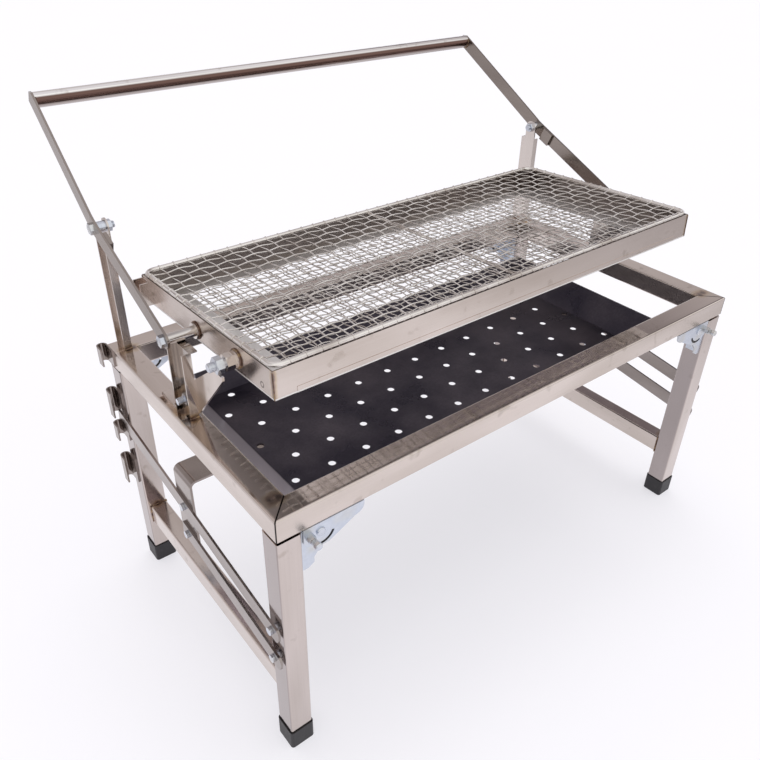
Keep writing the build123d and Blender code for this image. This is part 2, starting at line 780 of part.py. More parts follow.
with BuildPart() as stub_lock_nut:
    with BuildSketch(Plane.YZ.offset(lock_face)):
        with Locations((stub_y, stub_z)):
            RegularPolygon(stub_hex, 6, major_radius=False)
            Circle(stub_radius + running_clearance, mode=Mode.SUBTRACT)
    extrude(amount=-stub_nut)
save(both(Compound(children=[stub_bolt.part.solid(), stub_lock_nut.part.solid()])), "stub_bolts")

# Stop brackets: a small channel on each end wall at the rear
with BuildPart() as stop_bracket:
    with BuildSketch(basket.offset(tray_low + stop_wall)):
        with Locations((basket_end, basket_rear - stop_from_rear)):
            Rectangle(stop_depth, stop_width, align=(Align.MAX, Align.MAX))
        with Locations((basket_end - stop_wall, basket_rear - stop_from_rear - stop_wall)):
            Rectangle(
                stop_depth,
                stop_width - 2 * stop_wall,
                align=(Align.MAX, Align.MAX),
                mode=Mode.SUBTRACT,
            )
    extrude(amount=stop_height)
save(both(stop_bracket.part), "stop_brackets")

# Top net: a round wire rim with rounded corners, a mesh inside it and a cross rod under it
rim_level = tray_high + slide_gap + rim_radius
rim_length = basket_length - 2 * rim_radius
rim_depth = basket_depth - 2 * rim_radius
rim_plane = Plane(
    origin=basket.from_local_coords(Vector(0, basket_middle, rim_level)),
    x_dir=basket.x_dir,
    z_dir=basket.z_dir,
)
rim_x = rim_length / 2
rim_y = rim_depth / 2
bend_x = rim_x - rim_corner
bend_y = rim_y - rim_corner
rim_start = Plane(
    origin=rim_plane.from_local_coords(Vector(0, -rim_y, 0)),
    x_dir=basket.y_dir,
    z_dir=basket.x_dir,
)

with BuildPart() as top_net_rim:
    with BuildLine(rim_plane):
        Line((0, -rim_y), (bend_x, -rim_y))
        CenterArc((bend_x, -bend_y), rim_corner, -90, 90)
        Line((rim_x, -bend_y), (rim_x, bend_y))
        CenterArc((bend_x, bend_y), rim_corner, 0, 90)
        Line((bend_x, rim_y), (-bend_x, rim_y))
        CenterArc((-bend_x, bend_y), rim_corner, 90, 90)
        Line((-rim_x, bend_y), (-rim_x, -bend_y))
        CenterArc((-bend_x, -bend_y), rim_corner, 180, 90)
        Line((-bend_x, -rim_y), (0, -rim_y))
    with BuildSketch(rim_start):
        Circle(rim_radius)
    sweep()
save(top_net_rim.part, "top_net_rim")

mesh_length = rim_length - 2 * rim_radius - 2 * slide_gap
mesh_depth = rim_depth - 2 * rim_radius - 2 * slide_gap
mesh_pitch_x = (mesh_length - net_wire) / net_columns
mesh_pitch_y = (mesh_depth - net_wire) / net_rows

with BuildPart() as top_net:
    with BuildSketch(rim_plane.offset(-net_thick / 2)):
        RectangleRounded(mesh_length, mesh_depth, rim_corner - rim_radius - slide_gap)
        with GridLocations(mesh_pitch_x, mesh_pitch_y, net_columns, net_rows):
            Rectangle(mesh_pitch_x - net_wire, mesh_pitch_y - net_wire, mode=Mode.SUBTRACT)
    extrude(amount=net_thick)
save(top_net.part, "top_net")

with BuildPart() as cross_rod:
    rod_plane = Plane(
        origin=rim_plane.from_local_coords(
            Vector(cross_rod_x, -mesh_depth / 2, -net_thick / 2 - cross_rod_radius)
        ),
        x_dir=(1, 0, 0),
        z_dir=basket.y_dir,
    )
    with BuildSketch(rod_plane):
        Circle(cross_rod_radius)
    extrude(amount=mesh_depth)
save(cross_rod.part, "top_net_rod")

# Charcoal pan: a sheet tray with flared walls and staggered rows of holes in its floor
pan_floor = hanger_top

with BuildPart() as charcoal_pan:
    with BuildSketch(Plane.XY.offset(pan_floor)):
        with Locations((0, mid_y)):
            Rectangle(pan_length, pan_depth)
    with BuildSketch(Plane.XY.offset(pan_floor + pan_height)):
        with Locations((0, mid_y)):
            Rectangle(pan_length + 2 * pan_flare_ends, pan_depth + 2 * pan_flare_sides)
    loft(ruled=True)
    with BuildSketch(Plane.XY.offset(pan_floor + pan_wall)):
        with Locations((0, mid_y)):
            Rectangle(pan_length - pan_wall, pan_depth - 2 * pan_wall)
    with BuildSketch(Plane.XY.offset(pan_floor + pan_wall + pan_height)):
        with Locations((0, mid_y)):
            Rectangle(
                pan_length - pan_wall + 2 * pan_flare_ends,
                pan_depth - 2 * pan_wall + 2 * pan_flare_sides,
            )
    loft(ruled=True, mode=Mode.SUBTRACT)
    with BuildSketch(Plane.XY.offset(pan_floor)):
        with Locations((0, mid_y)):
            with GridLocations(pan_hole_pitch_x, pan_hole_pitch_y, pan_columns, pan_rows):
                Circle(pan_hole_radius)
            with GridLocations(pan_hole_pitch_x, pan_hole_pitch_y, pan_columns - 1, pan_rows + 1):
                Circle(pan_hole_radius)
    extrude(amount=pan_wall, mode=Mode.SUBTRACT)
save(charcoal_pan.part, "charcoal_pan")

# Pan hangers: a bent strip at each end, hung on two bars that pivot on the front leg
hanger_in = -pan_length / 2 + hanger_under_pan
screw_low_z = link_bar_z + bar_rise
screw_high_z = height_bar_z + bar_rise

with BuildPart() as left_hanger:
    with BuildSketch(Plane.XZ.offset(-hanger_mid_y - hanger_width / 2)):
        with BuildLine():
            Polyline(
                (hanger_out, hanger_bottom),
                (hanger_out, hanger_top),
                (hanger_in, hanger_top),
                (hanger_in, hanger_top - hanger_thick),
                (hanger_out + hanger_thick, hanger_top - hanger_thick),
                (hanger_out + hanger_thick, hanger_bottom),
                close=True,
            )
        make_face()
    extrude(amount=hanger_width)
    bends = left_hanger.edges().filter_by(Axis.Y)
    fillet(bends.sort_by_distance((hanger_out, hanger_mid_y, hanger_top))[0], hanger_bend)
    bends = left_hanger.edges().filter_by(Axis.Y)
    inner_bend = (hanger_out + hanger_thick, hanger_mid_y, hanger_top - hanger_thick)
    fillet(bends.sort_by_distance(inner_bend)[0], hanger_bend - hanger_thick)
    with BuildSketch(Plane.YZ.offset(hanger_out)):
        with Locations((hanger_mid_y, screw_high_z), (hanger_mid_y, screw_low_z)):
            Circle(screw_radius + running_clearance)
    extrude(amount=hanger_thick, mode=Mode.SUBTRACT)
save(left_hanger.part, "left_hanger")
save(mirrored(left_hanger.part), "right_hanger")


def sloped_bar(pivot_z_value, rear_reach_value):
    """One flat bar with round ends, pivoted on the front leg and drilled for the hanger."""
    with BuildPart() as bar:
        with BuildSketch(Plane.YZ.offset(bar_out)):
            with Locations(Location((bar_pivot_y, pivot_z_value, 0), (0, 0, bar_slope))):
                with Locations((-bar_front_overhang, 0)):
                    Rectangle(
                        bar_front_overhang + rear_reach_value,
                        bar_width,
                        align=(Align.MIN, Align.CENTER),
                    )
                with Locations((0, 0), (bar_run, 0)):
                    Circle(screw_radius + running_clearance, mode=Mode.SUBTRACT)
        extrude(amount=bar_thick)
        ends = bar.edges().filter_by(Axis.X).group_by(Axis.Y)
        fillet(ends[0] + ends[1], bar_width * 0.35)
    return bar.part


left_height_bar = sloped_bar(height_bar_z, bar_rear_reach)
save(left_height_bar, "left_height_bar")
save(mirrored(left_height_bar), "right_height_bar")
left_link_bar = sloped_bar(link_bar_z, bar_run + link_bar_overhang)
save(left_link_bar, "left_link_bar")
save(mirrored(left_link_bar), "right_link_bar")

with BuildPart() as leg_screws:
    with BuildSketch(Plane.YZ.offset(bar_out - slide_gap)):
        with Locations((bar_pivot_y, height_bar_z), (bar_pivot_y, link_bar_z)):
            Circle(screw_head_radius)
    extrude(amount=-screw_head)
    with BuildSketch(Plane.YZ.offset(bar_out - slide_gap)):
        with Locations((bar_pivot_y, height_bar_z), (bar_pivot_y, link_bar_z)):
            Circle(screw_radius)
    extrude(amount=-half_length + tube_wall + screw_nut - bar_out + slide_gap)

with BuildPart() as leg_washers:
    with BuildSketch(Plane.YZ.offset(-half_length)):
        with Locations((bar_pivot_y, height_bar_z), (bar_pivot_y, link_bar_z)):
            Circle(screw_head_radius)
            Circle(screw_radius + running_clearance, mode=Mode.SUBTRACT)
    extrude(amount=-(bar_gap - slide_gap))
leg_screw_set = Compound(children=list(leg_screws.part.solids()) + list(leg_washers.part.solids()))
save(leg_screw_set, "left_leg_screws")
save(mirrored(leg_screw_set), "right_leg_screws")

with BuildPart() as hanger_screws:
    with BuildSketch(Plane.YZ.offset(bar_out - slide_gap)):
        with Locations((hanger_mid_y, screw_high_z), (hanger_mid_y, screw_low_z)):
            Circle(screw_head_radius)
    extrude(amount=-screw_head)
    with BuildSketch(Plane.YZ.offset(bar_out - slide_gap)):
        with Locations((hanger_mid_y, screw_high_z), (hanger_mid_y, screw_low_z)):
            Circle(screw_radius)
    extrude(amount=hanger_out + hanger_thick + screw_nut - bar_out + slide_gap)

with BuildPart() as hanger_nuts:
    with BuildSketch(Plane.YZ.offset(hanger_out + hanger_thick)):
        with Locations((hanger_mid_y, screw_high_z), (hanger_mid_y, screw_low_z)):
            RegularPolygon(screw_head_radius * 0.8, 6, major_radius=False)
            Circle(screw_radius + running_clearance, mode=Mode.SUBTRACT)
    extrude(amount=screw_nut)
hanger_screw_set = Compound(children=list(hanger_screws.part.solids()) + list(hanger_nuts.part.solids()))
save(hanger_screw_set, "left_hanger_screws")
save(mirrored(hanger_screw_set), "right_hanger_screws")
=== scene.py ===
# %% [markdown]
# # Dressing a rotisserie charcoal grill
# The CAD model already holds every solid of this grill: square tube frame, folding legs, lift lever,
# basket, nets and pan. This lesson loads those solids as a fixed frame and gives them what a photograph
# shows besides shape: polished and heat-tinted steel, bright zinc, woven wire and weld ripples.
# Everything is in metres and stands where the CAD put it, so nothing here is moved to fit.

# %% Load the frame
import math

import bmesh
import bpy
from mathutils import Matrix, Vector


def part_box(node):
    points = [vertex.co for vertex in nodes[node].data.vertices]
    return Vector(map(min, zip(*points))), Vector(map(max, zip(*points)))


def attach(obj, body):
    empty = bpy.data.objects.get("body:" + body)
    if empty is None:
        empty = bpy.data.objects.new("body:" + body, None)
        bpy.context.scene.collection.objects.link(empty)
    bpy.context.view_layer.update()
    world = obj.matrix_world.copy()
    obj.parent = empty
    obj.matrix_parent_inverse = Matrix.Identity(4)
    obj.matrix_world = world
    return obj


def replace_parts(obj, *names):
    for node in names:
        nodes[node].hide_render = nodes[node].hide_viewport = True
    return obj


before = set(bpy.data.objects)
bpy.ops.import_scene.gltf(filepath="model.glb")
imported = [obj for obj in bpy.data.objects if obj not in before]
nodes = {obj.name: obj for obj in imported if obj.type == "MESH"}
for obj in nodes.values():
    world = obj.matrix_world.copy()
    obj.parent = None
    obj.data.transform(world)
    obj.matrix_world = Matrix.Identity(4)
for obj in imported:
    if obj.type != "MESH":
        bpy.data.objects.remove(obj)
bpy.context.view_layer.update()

# %% [markdown]
# ## Small helpers for finishes
# A finish is a node tree. Colours are picked on screen as sRGB hex values, but shader sockets take linear
# light, so one function converts them. A second function adds one node, sets it and links it: with that,
# a tree reads from top to bottom like a recipe. The others start a finish, connect it to its surface shader,
# and lay a colour or a duller sheen over what it has so far.

# %% Colour and node helpers
def colour(code):
    """An sRGB hex colour as the linear colour that a socket takes."""
    parts = [int(code[i:i + 2], 16) / 255 for i in (1, 3, 5)]
    return (*[c / 12.92 if c <= 0.04045 else ((c + 0.055) / 1.055) ** 2.4 for c in parts], 1.0)


def add(owner, kind, inputs=None, **settings):
    """Adds one node to a material or world: its settings, then its inputs, each a value or a socket."""
    tree = owner.node_tree
    made = tree.nodes.new("ShaderNode" + kind)
    for name, value in settings.items():
        setattr(made, name, value)
    for name, value in (inputs or {}).items():
        if isinstance(value, bpy.types.NodeSocket):
            tree.links.new(value, made.inputs[name])
        else:
            made.inputs[name].default_value = value
    return made


def surface_of(material):
    """The shader that makes a material's surface."""
    return material.node_tree.nodes["Principled BSDF"]


def new_finish(name, **sockets):
    """A material whose even values are set straight on the surface shader's sockets."""
    material = bpy.data.materials.new(name)
    material.use_nodes = True
    for socket, value in sockets.items():
        surface_of(material).inputs[socket.replace("_", " ")].default_value = value
    return material


def connect(material, **sockets):
    """Links outputs to the surface shader's sockets."""
    for socket, output in sockets.items():
        material.node_tree.links.new(output, surface_of(material).inputs[socket.replace("_", " ")])


def overlay(material, share, code):
    """Lays a colour over the finish's own where the share is above 0."""
    own = surface_of(material).inputs["Base Color"].links[0].from_socket
    mixed = add(material, "Mix", {0: share, 6: own, 7: colour(code)}, data_type="RGBA")
    connect(material, Base_Color=mixed.outputs[2])


def dulled(material, share, roughness):
    """Makes the finish rougher where the share is above 0."""
    own = surface_of(material).inputs["Roughness"].links[0].from_socket
    mixed = add(material, "Mix", {0: share, 2: own, 3: roughness}, data_type="FLOAT")
    connect(material, Roughness=mixed.outputs[0])


print("mid grey in linear light:", round(colour("#808080")[0], 3))

# %% [markdown]
# ## Heat tint
# Stainless steel that was welded keeps a stain: rings of straw and brown round a dark hot spot. It could
# be painted on a map, but the welds' places are known, so a node tree can measure how far each point is from
# the nearest one. The grill is the same at both ends, so the place is folded first (the absolute value of x,
# and of y from the middle), and each listed spot then serves its mirror images too.

# %% Heat tint round the welds
middle_y = (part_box("front_rail")[0].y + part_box("rear_rail")[1].y) / 2


def heat_near(material, spots, reach, middle=middle_y, flatten=1.0):
    """1 at a weld, falling to 0 at the reach; flatten below 1 makes the stain follow an upright seam."""
    place = add(material, "TexCoord").outputs["Object"]
    shifted = add(material, "Mapping", {
        "Vector": place, "Location": (0, -middle, 0), "Scale": (1, 1, flatten)})
    folded = add(material, "VectorMath", {0: shifted.outputs[0]}, operation="ABSOLUTE").outputs[0]
    # Ragged edge: blotches about 8 mm wide
    blotch = add(material, "TexNoise", {"Vector": place, "Scale": 1 / 0.008, "Detail": 3.0})
    nearest = None
    for spot in spots:
        to = (abs(spot[0]), abs(spot[1] - middle), spot[2] * flatten)
        gap = add(material, "VectorMath", {0: folded, 1: to}, operation="DISTANCE").outputs["Value"]
        if nearest is not None:
            gap = add(material, "Math", {0: nearest, 1: gap}, operation="MINIMUM").outputs[0]
        nearest = gap
    ragged = add(material, "Math", {0: blotch.outputs["Fac"], 1: reach * 0.7, 2: nearest},
                 operation="MULTIPLY_ADD").outputs[0]
    return add(material, "MapRange", {
        "Value": ragged, "From Min": reach * 1.3, "From Max": reach * 0.35}).outputs["Result"]


def stain(material, steel, heat):
    """Lays the tint's rings over the steel colour."""
    rings = add(material, "ValToRGB", {"Fac": heat})
    ramp = rings.color_ramp
    ramp.elements[0].position, ramp.elements[0].color = 0.0, colour("#C9BCA8")
    ramp.elements[1].position, ramp.elements[1].color = 1.0, colour("#4A382E")
    for position, code in ((0.35, "#C6AC78"), (0.62, "#96744E"), (0.8, "#66524A")):
        ramp.elements.new(position).color = colour(code)
    cover = add(material, "MapRange", {"Value": heat, "From Min": 0.05, "From Max": 0.9, "To Max": 0.8})
    return add(material, "Mix", {0: cover.outputs["Result"], 6: steel, 7: rings.outputs["Color"]},
               data_type="RGBA").outputs[2]


print("middle of the frame in y:", round(1000 * middle_y, 1), "mm")

# %% [markdown]
# ## Polished stainless steel
# The tubes and flat bars are stainless steel polished on a belt, almost to a mirror. That leaves fine lines
# along each bar, which blur its reflection a little across them, and clouds of duller polish. Hands add
# finger smudges. One flat metal would look like chrome, so patterns stretched along the bar vary its colour,
# roughness and bump. Direction and tone differ from piece to piece, so a function takes them.

# %% The stainless function
def stainless(name, along, light="#D8CDC6", deep="#B3A79C", polish=0.04, cloud=(0.22, 0.06), spots=(),
              reach=0.02, **heat):
    """Belt-polished stainless steel with its lines along one axis."""
    material = new_finish(name, Metallic=1.0)
    place = add(material, "TexCoord").outputs["Object"]
    # Belt lines are finer than a pixel on the real bar; drawn 0.7 mm wide and 90 mm long so that they show
    across, length = 1 / 0.0007, 1 / 0.09
    scale = tuple(length if axis == along else across for axis in "xyz")
    stretched = add(material, "Mapping", {"Vector": place, "Scale": scale}).outputs[0]
    lines = add(material, "TexNoise", {"Vector": stretched, "Scale": 1.0, "Detail": 2.0}).outputs["Fac"]
    # Duller and brighter polish in clouds, on most bars about 220 mm long and 60 mm wide
    soft = tuple(1 / cloud[0] if axis == along else 1 / cloud[1] for axis in "xyz")
    drift = add(material, "Mapping", {"Vector": place, "Scale": soft}).outputs[0]
    clouds = add(material, "TexNoise", {"Vector": drift, "Scale": 1.0, "Detail": 2.0}).outputs["Fac"]
    tone = add(material, "MapRange", {
        "Value": clouds, "From Min": 0.4, "From Max": 0.75, "To Max": 0.6}).outputs["Result"]
    steel = add(material, "Mix", {0: tone, 6: colour(light), 7: colour(deep)}, data_type="RGBA").outputs[2]
    lined = add(material, "Mix", {0: 0.14, 6: steel, 7: lines}, data_type="RGBA",
                blend_type="SOFT_LIGHT").outputs[2]
    # Finger smudges about 22 mm across: duller, and the strongest ones a little brown
    smudge = add(material, "TexNoise", {"Vector": place, "Scale": 1 / 0.022, "Detail": 2.0}).outputs["Fac"]
    dull = add(material, "MapRange", {
        "Value": smudge, "From Min": 0.5, "From Max": 0.75, "To Min": polish, "To Max": polish + 0.07})
    rough = add(material, "Math", {0: lines, 1: 0.03, 2: dull.outputs["Result"]}, operation="MULTIPLY_ADD")
    bump = add(material, "Bump", {"Height": lines, "Strength": 0.03, "Distance": 0.0001})
    if spots:
        lined = stain(material, lined, heat_near(material, spots, reach, **heat))
    connect(material, Base_Color=lined, Roughness=rough.outputs[0], Normal=bump.outputs["Normal"])
    print_mark = add(material, "MapRange", {
        "Value": smudge, "From Min": 0.64, "From Max": 0.72, "To Max": 0.35}).outputs["Result"]
    overlay(material, print_mark, "#A2968A")
    return material


def dress(material, *names):
    """Gives CAD nodes a finish through their material slots."""
    for name in names:
        mesh = nodes[name].data
        mesh.materials.clear()
        mesh.materials.append(material)
    print(material.name, "on", len(names), "nodes")


def pair(name):
    """The left and the right node of a name."""
    return "left_" + name, "right_" + name


print("pieces come in pairs, such as", *pair("rail"))

# %% [markdown]
# ## The frame's rails
# Four rails make a rectangle: the front corners are mitred at 45 degrees and show a dark seam, the rear ones
# are butted. Posts are welded on top, and the stain at their feet comes from that. The seam is thin, so it is
# drawn by one more measure: how far a point is from the 45 degree plane through the corner. Only the top was
# buffed to a mirror, and a face's normal tells which way it looks.

# %% Rails
front_low, front_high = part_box("front_rail")
post_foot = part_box("right_shaft_post")
lever_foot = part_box("right_lever_post")
rail_top = front_high.z
frame_spots = [
    (front_high.x - 0.015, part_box("rear_rail")[0].y, rail_top),
    (post_foot[1].x, post_foot[0].y, rail_top),
    (lever_foot[0].x, lever_foot[0].y, rail_top),
]


def mitre_seam(material):
    """A dark line, about 1.6 mm wide, where the two mitred tubes meet."""
    parts = add(material, "SeparateXYZ", {0: add(material, "TexCoord").outputs["Object"]}).outputs
    side = add(material, "Math", {0: parts["X"]}, operation="ABSOLUTE").outputs[0]
    inward = add(material, "Math", {0: front_high.x, 1: side}, operation="SUBTRACT").outputs[0]
    back = add(material, "Math", {0: parts["Y"], 1: front_low.y}, operation="SUBTRACT").outputs[0]
    gap = add(material, "Math", {0: inward, 1: back}, operation="SUBTRACT").outputs[0]
    off = add(material, "Math", {0: gap}, operation="ABSOLUTE").outputs[0]
    line = add(material, "MapRange", {"Value": off, "From Min": 0.0014, "From Max": 0.0009}).outputs["Result"]
    overlay(material, line, "#1B1512")


def facing(material, axis):
    """How squarely a face looks along an axis: 1 along it, 0 across it."""
    normal = add(material, "SeparateXYZ", {0: add(material, "TexCoord").outputs["Normal"]}).outputs[axis]
    return add(material, "Math", {0: normal}, operation="ABSOLUTE").outputs[0]


rail_x = stainless("polished_stainless_rail_x", "x", spots=frame_spots, reach=0.016)
rail_y = stainless("polished_stainless_rail_y", "y", spots=frame_spots, reach=0.016)
for rail in (rail_x, rail_y):
    mitre_seam(rail)
    # The upright faces are satin
    upright = add(rail, "MapRange", {"Value": facing(rail, "Z"), "From Min": 0.7, "From Max": 0.3})
    dulled(rail, upright.outputs["Result"], 0.24)
dress(rail_x, "front_rail", "rear_rail")
dress(rail_y, *pair("rail"))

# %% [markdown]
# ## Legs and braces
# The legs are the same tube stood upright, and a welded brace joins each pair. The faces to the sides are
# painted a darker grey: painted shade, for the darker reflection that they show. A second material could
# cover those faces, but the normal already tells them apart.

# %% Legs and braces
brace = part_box("right_leg_brace")
brace_middle_x = brace[1].x - 0.012
brace_spots = [(brace_middle_x, brace[0].y, z) for z in (brace[1].z, brace[0].z)]
leg_steel = stainless("polished_stainless_leg", "z", light="#D0C5C0", deep="#A99D93", polish=0.09,
                      spots=brace_spots, reach=0.01)
# Painted shade: faces that look along x are painted a darker grey
painted_side_shade = add(leg_steel, "MapRange", {
    "Value": facing(leg_steel, "X"), "From Min": 0.5, "From Max": 0.9, "To Max": 0.75})
overlay(leg_steel, painted_side_shade.outputs["Result"], "#A39A99")
dress(leg_steel, *pair("front_leg"), *pair("rear_leg"))
brace_steel = stainless("polished_stainless_brace", "y", polish=0.11, spots=brace_spots, reach=0.014)
dress(brace_steel, *pair("leg_brace"))

# %% [markdown]
# ## Posts, arms and bars
# These are cut from flat bar and bent sheet of the same steel. Posts stand on welds and are stained at the
# foot. Each sheet has its own sheen: the shaft posts carry dark streaks of painted reflection, the lever arms
# are a duller rolled bar.
# The stainless function makes them all, and only its numbers differ.

# %% Posts, lever and height gear
post_spots = [
    (post_foot[1].x - 0.006, post_foot[0].y, rail_top - 0.002),
    (lever_foot[1].x - 0.006, lever_foot[0].y, rail_top - 0.002),
]
# Painted reflection: dark streaks along the posts
post_steel = stainless("polished_stainless_post", "z", light="#C6BCB4", deep="#5E544E", polish=0.08,
                       cloud=(0.25, 0.009), spots=post_spots, reach=0.013)
dress(post_steel, *pair("shaft_post"))
channel_steel = stainless("polished_stainless_channel", "z", light="#E4DBD5", deep="#B9AEA7", polish=0.22,
                          spots=post_spots, reach=0.013)
dress(channel_steel, *pair("lever_post"))
plate_steel = stainless("polished_stainless_plate", "z", polish=0.13)
dress(plate_steel, *pair("rest_arm"), "stop_brackets")
strip_steel = stainless("rolled_stainless_strip", "z", light="#A89E99", deep="#786E69", polish=0.14)
dress(strip_steel, *pair("hanger"), "rail_catches", *pair("leg_catches"))
bar_steel = stainless("polished_stainless_bar", "y", light="#A39A96", deep="#7B716B", polish=0.12)
dress(bar_steel, *pair("height_bar"), *pair("link_bar"))
arm_steel = stainless("rolled_stainless_arm", "y", light="#A0968F", deep="#7C726D", polish=0.2)
dress(arm_steel, *pair("lever_arm"), "lever_stop_plates")

# %% [markdown]
# ## The handle
# The handle is a polished tube between the lever's arms, in a paler steel than the rest as a painted
# highlight. Below its top it is painted brown, a painted dark reflection, and the lowest part is painted less
# brown, a painted reflection of the bright floor. Both follow the height alone, so two measures of height are
# multiplied.

# %% Handle
# Painted highlight: the handle's steel is paler than the other steel
handle_steel = stainless("polished_stainless_handle", "x", light="#F8F5F3", deep="#CFC7C3", polish=0.05,
                         cloud=(0.3, 0.003))
handle_low, handle_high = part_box("handle_bar")
handle_z = (handle_low.z + handle_high.z) / 2
height = add(handle_steel, "SeparateXYZ", {0: add(handle_steel, "TexCoord").outputs["Object"]}).outputs["Z"]
# Painted reflection: brown below the top, less brown at the very bottom
reflection_band = add(handle_steel, "MapRange", {
    "Value": height, "From Min": handle_z + 0.0062, "From Max": handle_z + 0.0045})
floor_reflection = add(handle_steel, "MapRange", {
    "Value": height, "From Min": handle_z - 0.006, "From Max": handle_z - 0.002, "To Min": 0.6})
painted_reflection = add(handle_steel, "Math", {0: reflection_band.outputs["Result"], 1: floor_reflection.outputs["Result"]},
            operation="MULTIPLY").outputs[0]
overlay(handle_steel, painted_reflection, "#6E564F")
dress(handle_steel, "handle_bar")

# %% [markdown]
# ## The basket's tray
# The tray is folded from sheet and welded at its four corners, so the stain there runs up the whole seam. The
# heat measure takes care of it with flatten at zero: height no longer counts, and the spot becomes a line.
# The tray leans by three degrees, so a point on it is measured in the basket's own frame, which starts at the
# shaft.

# %% Basket tray
lean = math.radians(3.0)
tray_low, tray_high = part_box("basket_tray")
tray_mid = (tray_low.y + tray_high.y) / 2
shaft_low, shaft_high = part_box("shaft_tubes")
shaft_at = Vector((tray_high.x, (shaft_low.y + shaft_high.y) / 2, (shaft_low.z + shaft_high.z) / 2))


def in_basket(u, v, w):
    """A point in the basket's own frame: along its length, to its rear and up its normal, from the shaft."""
    return Vector((u, shaft_at.y + v * math.cos(lean) + w * math.sin(lean),
                   shaft_at.z - v * math.sin(lean) + w * math.cos(lean)))


# The tray's own sizes in that frame: front, rear, low and high edge
tray_front, tray_rear, tray_bottom, tray_top = -0.168, 0.144, -0.013, 0.021
corner = [(tray_high.x, in_basket(0, tray_rear, 0).y - 0.001, 0.0)]
tray_steel = stainless("polished_stainless_tray", "x", polish=0.2, spots=corner, reach=0.007,
                       middle=tray_mid, flatten=0.0)
dress(tray_steel, "basket_tray")

# %% [markdown]
# ### Marks on the tray
# The inner faces of the walls are painted a darker grey, as painted shade inside the tray. The flange that
# carries the net is rougher and painted paler, a painted highlight where it lies in the net's shade. Each
# corner's tab is spot welded to the end wall, which leaves a dark ring. All three are found by measuring: how
# far a point lies inside the tray's outline, how high along the tray's own normal, and how far from a spot.

# %% Painted shade, painted highlight and spot welds
place = add(tray_steel, "TexCoord").outputs["Object"]
parts = add(tray_steel, "SeparateXYZ", {0: place}).outputs
sideways = add(tray_steel, "Math", {0: parts["X"]}, operation="ABSOLUTE").outputs[0]
from_shaft = add(tray_steel, "VectorMath", {0: place, 1: tuple(shaft_at)}, operation="SUBTRACT").outputs[0]
rearward = add(tray_steel, "VectorMath", {0: from_shaft, 1: (0, math.cos(lean), -math.sin(lean))},
               operation="DOT_PRODUCT").outputs["Value"]
rise = add(tray_steel, "VectorMath", {0: from_shaft, 1: (0, math.sin(lean), math.cos(lean))},
           operation="DOT_PRODUCT").outputs["Value"]
tray_centre = (tray_front + tray_rear) / 2
signed = add(tray_steel, "Math", {0: rearward, 1: tray_centre}, operation="SUBTRACT").outputs[0]
depthways = add(tray_steel, "Math", {0: signed}, operation="ABSOLUTE").outputs[0]
# A point is on an inner face where it lies more than half a millimetre inside the outline
within = []
for measure, half in ((sideways, tray_high.x), (depthways, (tray_rear - tray_front) / 2)):
    within.append(add(tray_steel, "MapRange", {
        "Value": measure, "From Min": half - 0.0004, "From Max": half - 0.0006, "To Max": 0.85}))
inside = add(tray_steel, "Math", {0: within[0].outputs["Result"], 1: within[1].outputs["Result"]},
             operation="MINIMUM").outputs[0]
# Painted shade: the inner faces are painted a darker grey
overlay(tray_steel, inside, "#6F6763")
# Painted highlight: the flange is painted paler; it is also made rougher
flange = add(tray_steel, "MapRange", {
    "Value": rise, "From Min": tray_bottom + 0.0019, "From Max": tray_bottom + 0.0017}).outputs["Result"]
overlay(tray_steel, flange, "#EDEAE8")
dulled(tray_steel, flange, 0.55)
# The rings are 6 mm wide, 23 mm from the corner and 9 mm up; only x is folded, since y is not symmetric
ring_radius, from_corner, ring_height = 0.003, 0.023, 0.009
folded = add(tray_steel, "CombineXYZ", {"X": sideways, "Y": parts["Y"], "Z": parts["Z"]}).outputs[0]
for v in (tray_front + from_corner, tray_rear - from_corner):
    spot = in_basket(tray_high.x, v, tray_bottom + ring_height)
    gap = add(tray_steel, "VectorMath", {0: folded, 1: tuple(spot)}, operation="DISTANCE").outputs["Value"]
    off = add(tray_steel, "Math", {0: gap, 1: ring_radius}, operation="SUBTRACT").outputs[0]
    thin = add(tray_steel, "Math", {0: off}, operation="ABSOLUTE").outputs[0]
    ring = add(tray_steel, "MapRange", {"Value": thin, "From Min": 0.001, "From Max": 0.0005, "To Max": 0.8})
    overlay(tray_steel, ring.outputs["Result"], "#453A36")
print("rings at z", round(1000 * spot.z, 1), "mm on the end walls")

# %% [markdown]
# ## Shaft and stub
# The basket turns on two polished tubes and comes down on two stubs. They are welded to the tray's end walls,
# so the stain sits at their roots, and dark streaks of painted reflection run along the tubes.

# %% Shaft tubes and stubs
stub_low, stub_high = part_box("stub_couplings")
stub_at = Vector((tray_high.x, (stub_low.y + stub_high.y) / 2, (stub_low.z + stub_high.z) / 2))
# Painted reflection: dark streaks along the shaft tubes
shaft_steel = stainless("polished_stainless_shaft", "x", polish=0.05, light="#DCD6D2", deep="#4E4644",
                        cloud=(0.1, 0.004), spots=[tuple(shaft_at)], reach=0.011, middle=shaft_at.y)
dress(shaft_steel, "shaft_tubes")
stub_steel = stainless("polished_stainless_stub", "x", polish=0.08, light="#E2DAD4", deep="#B9AEA4",
                       spots=[tuple(stub_at)], reach=0.01, middle=stub_at.y)
dress(stub_steel, "stub_couplings")

# %% [markdown]
# ## Zinc plated plates and bolts
# Brackets and fasteners are mild steel with a bright zinc plating: cooler and whiter than the stainless, with
# a cloudy grain a few millimetres wide and a faint straw film. Plain grey metal would hide the difference
# between the two, which is one of the things that makes the object look real.

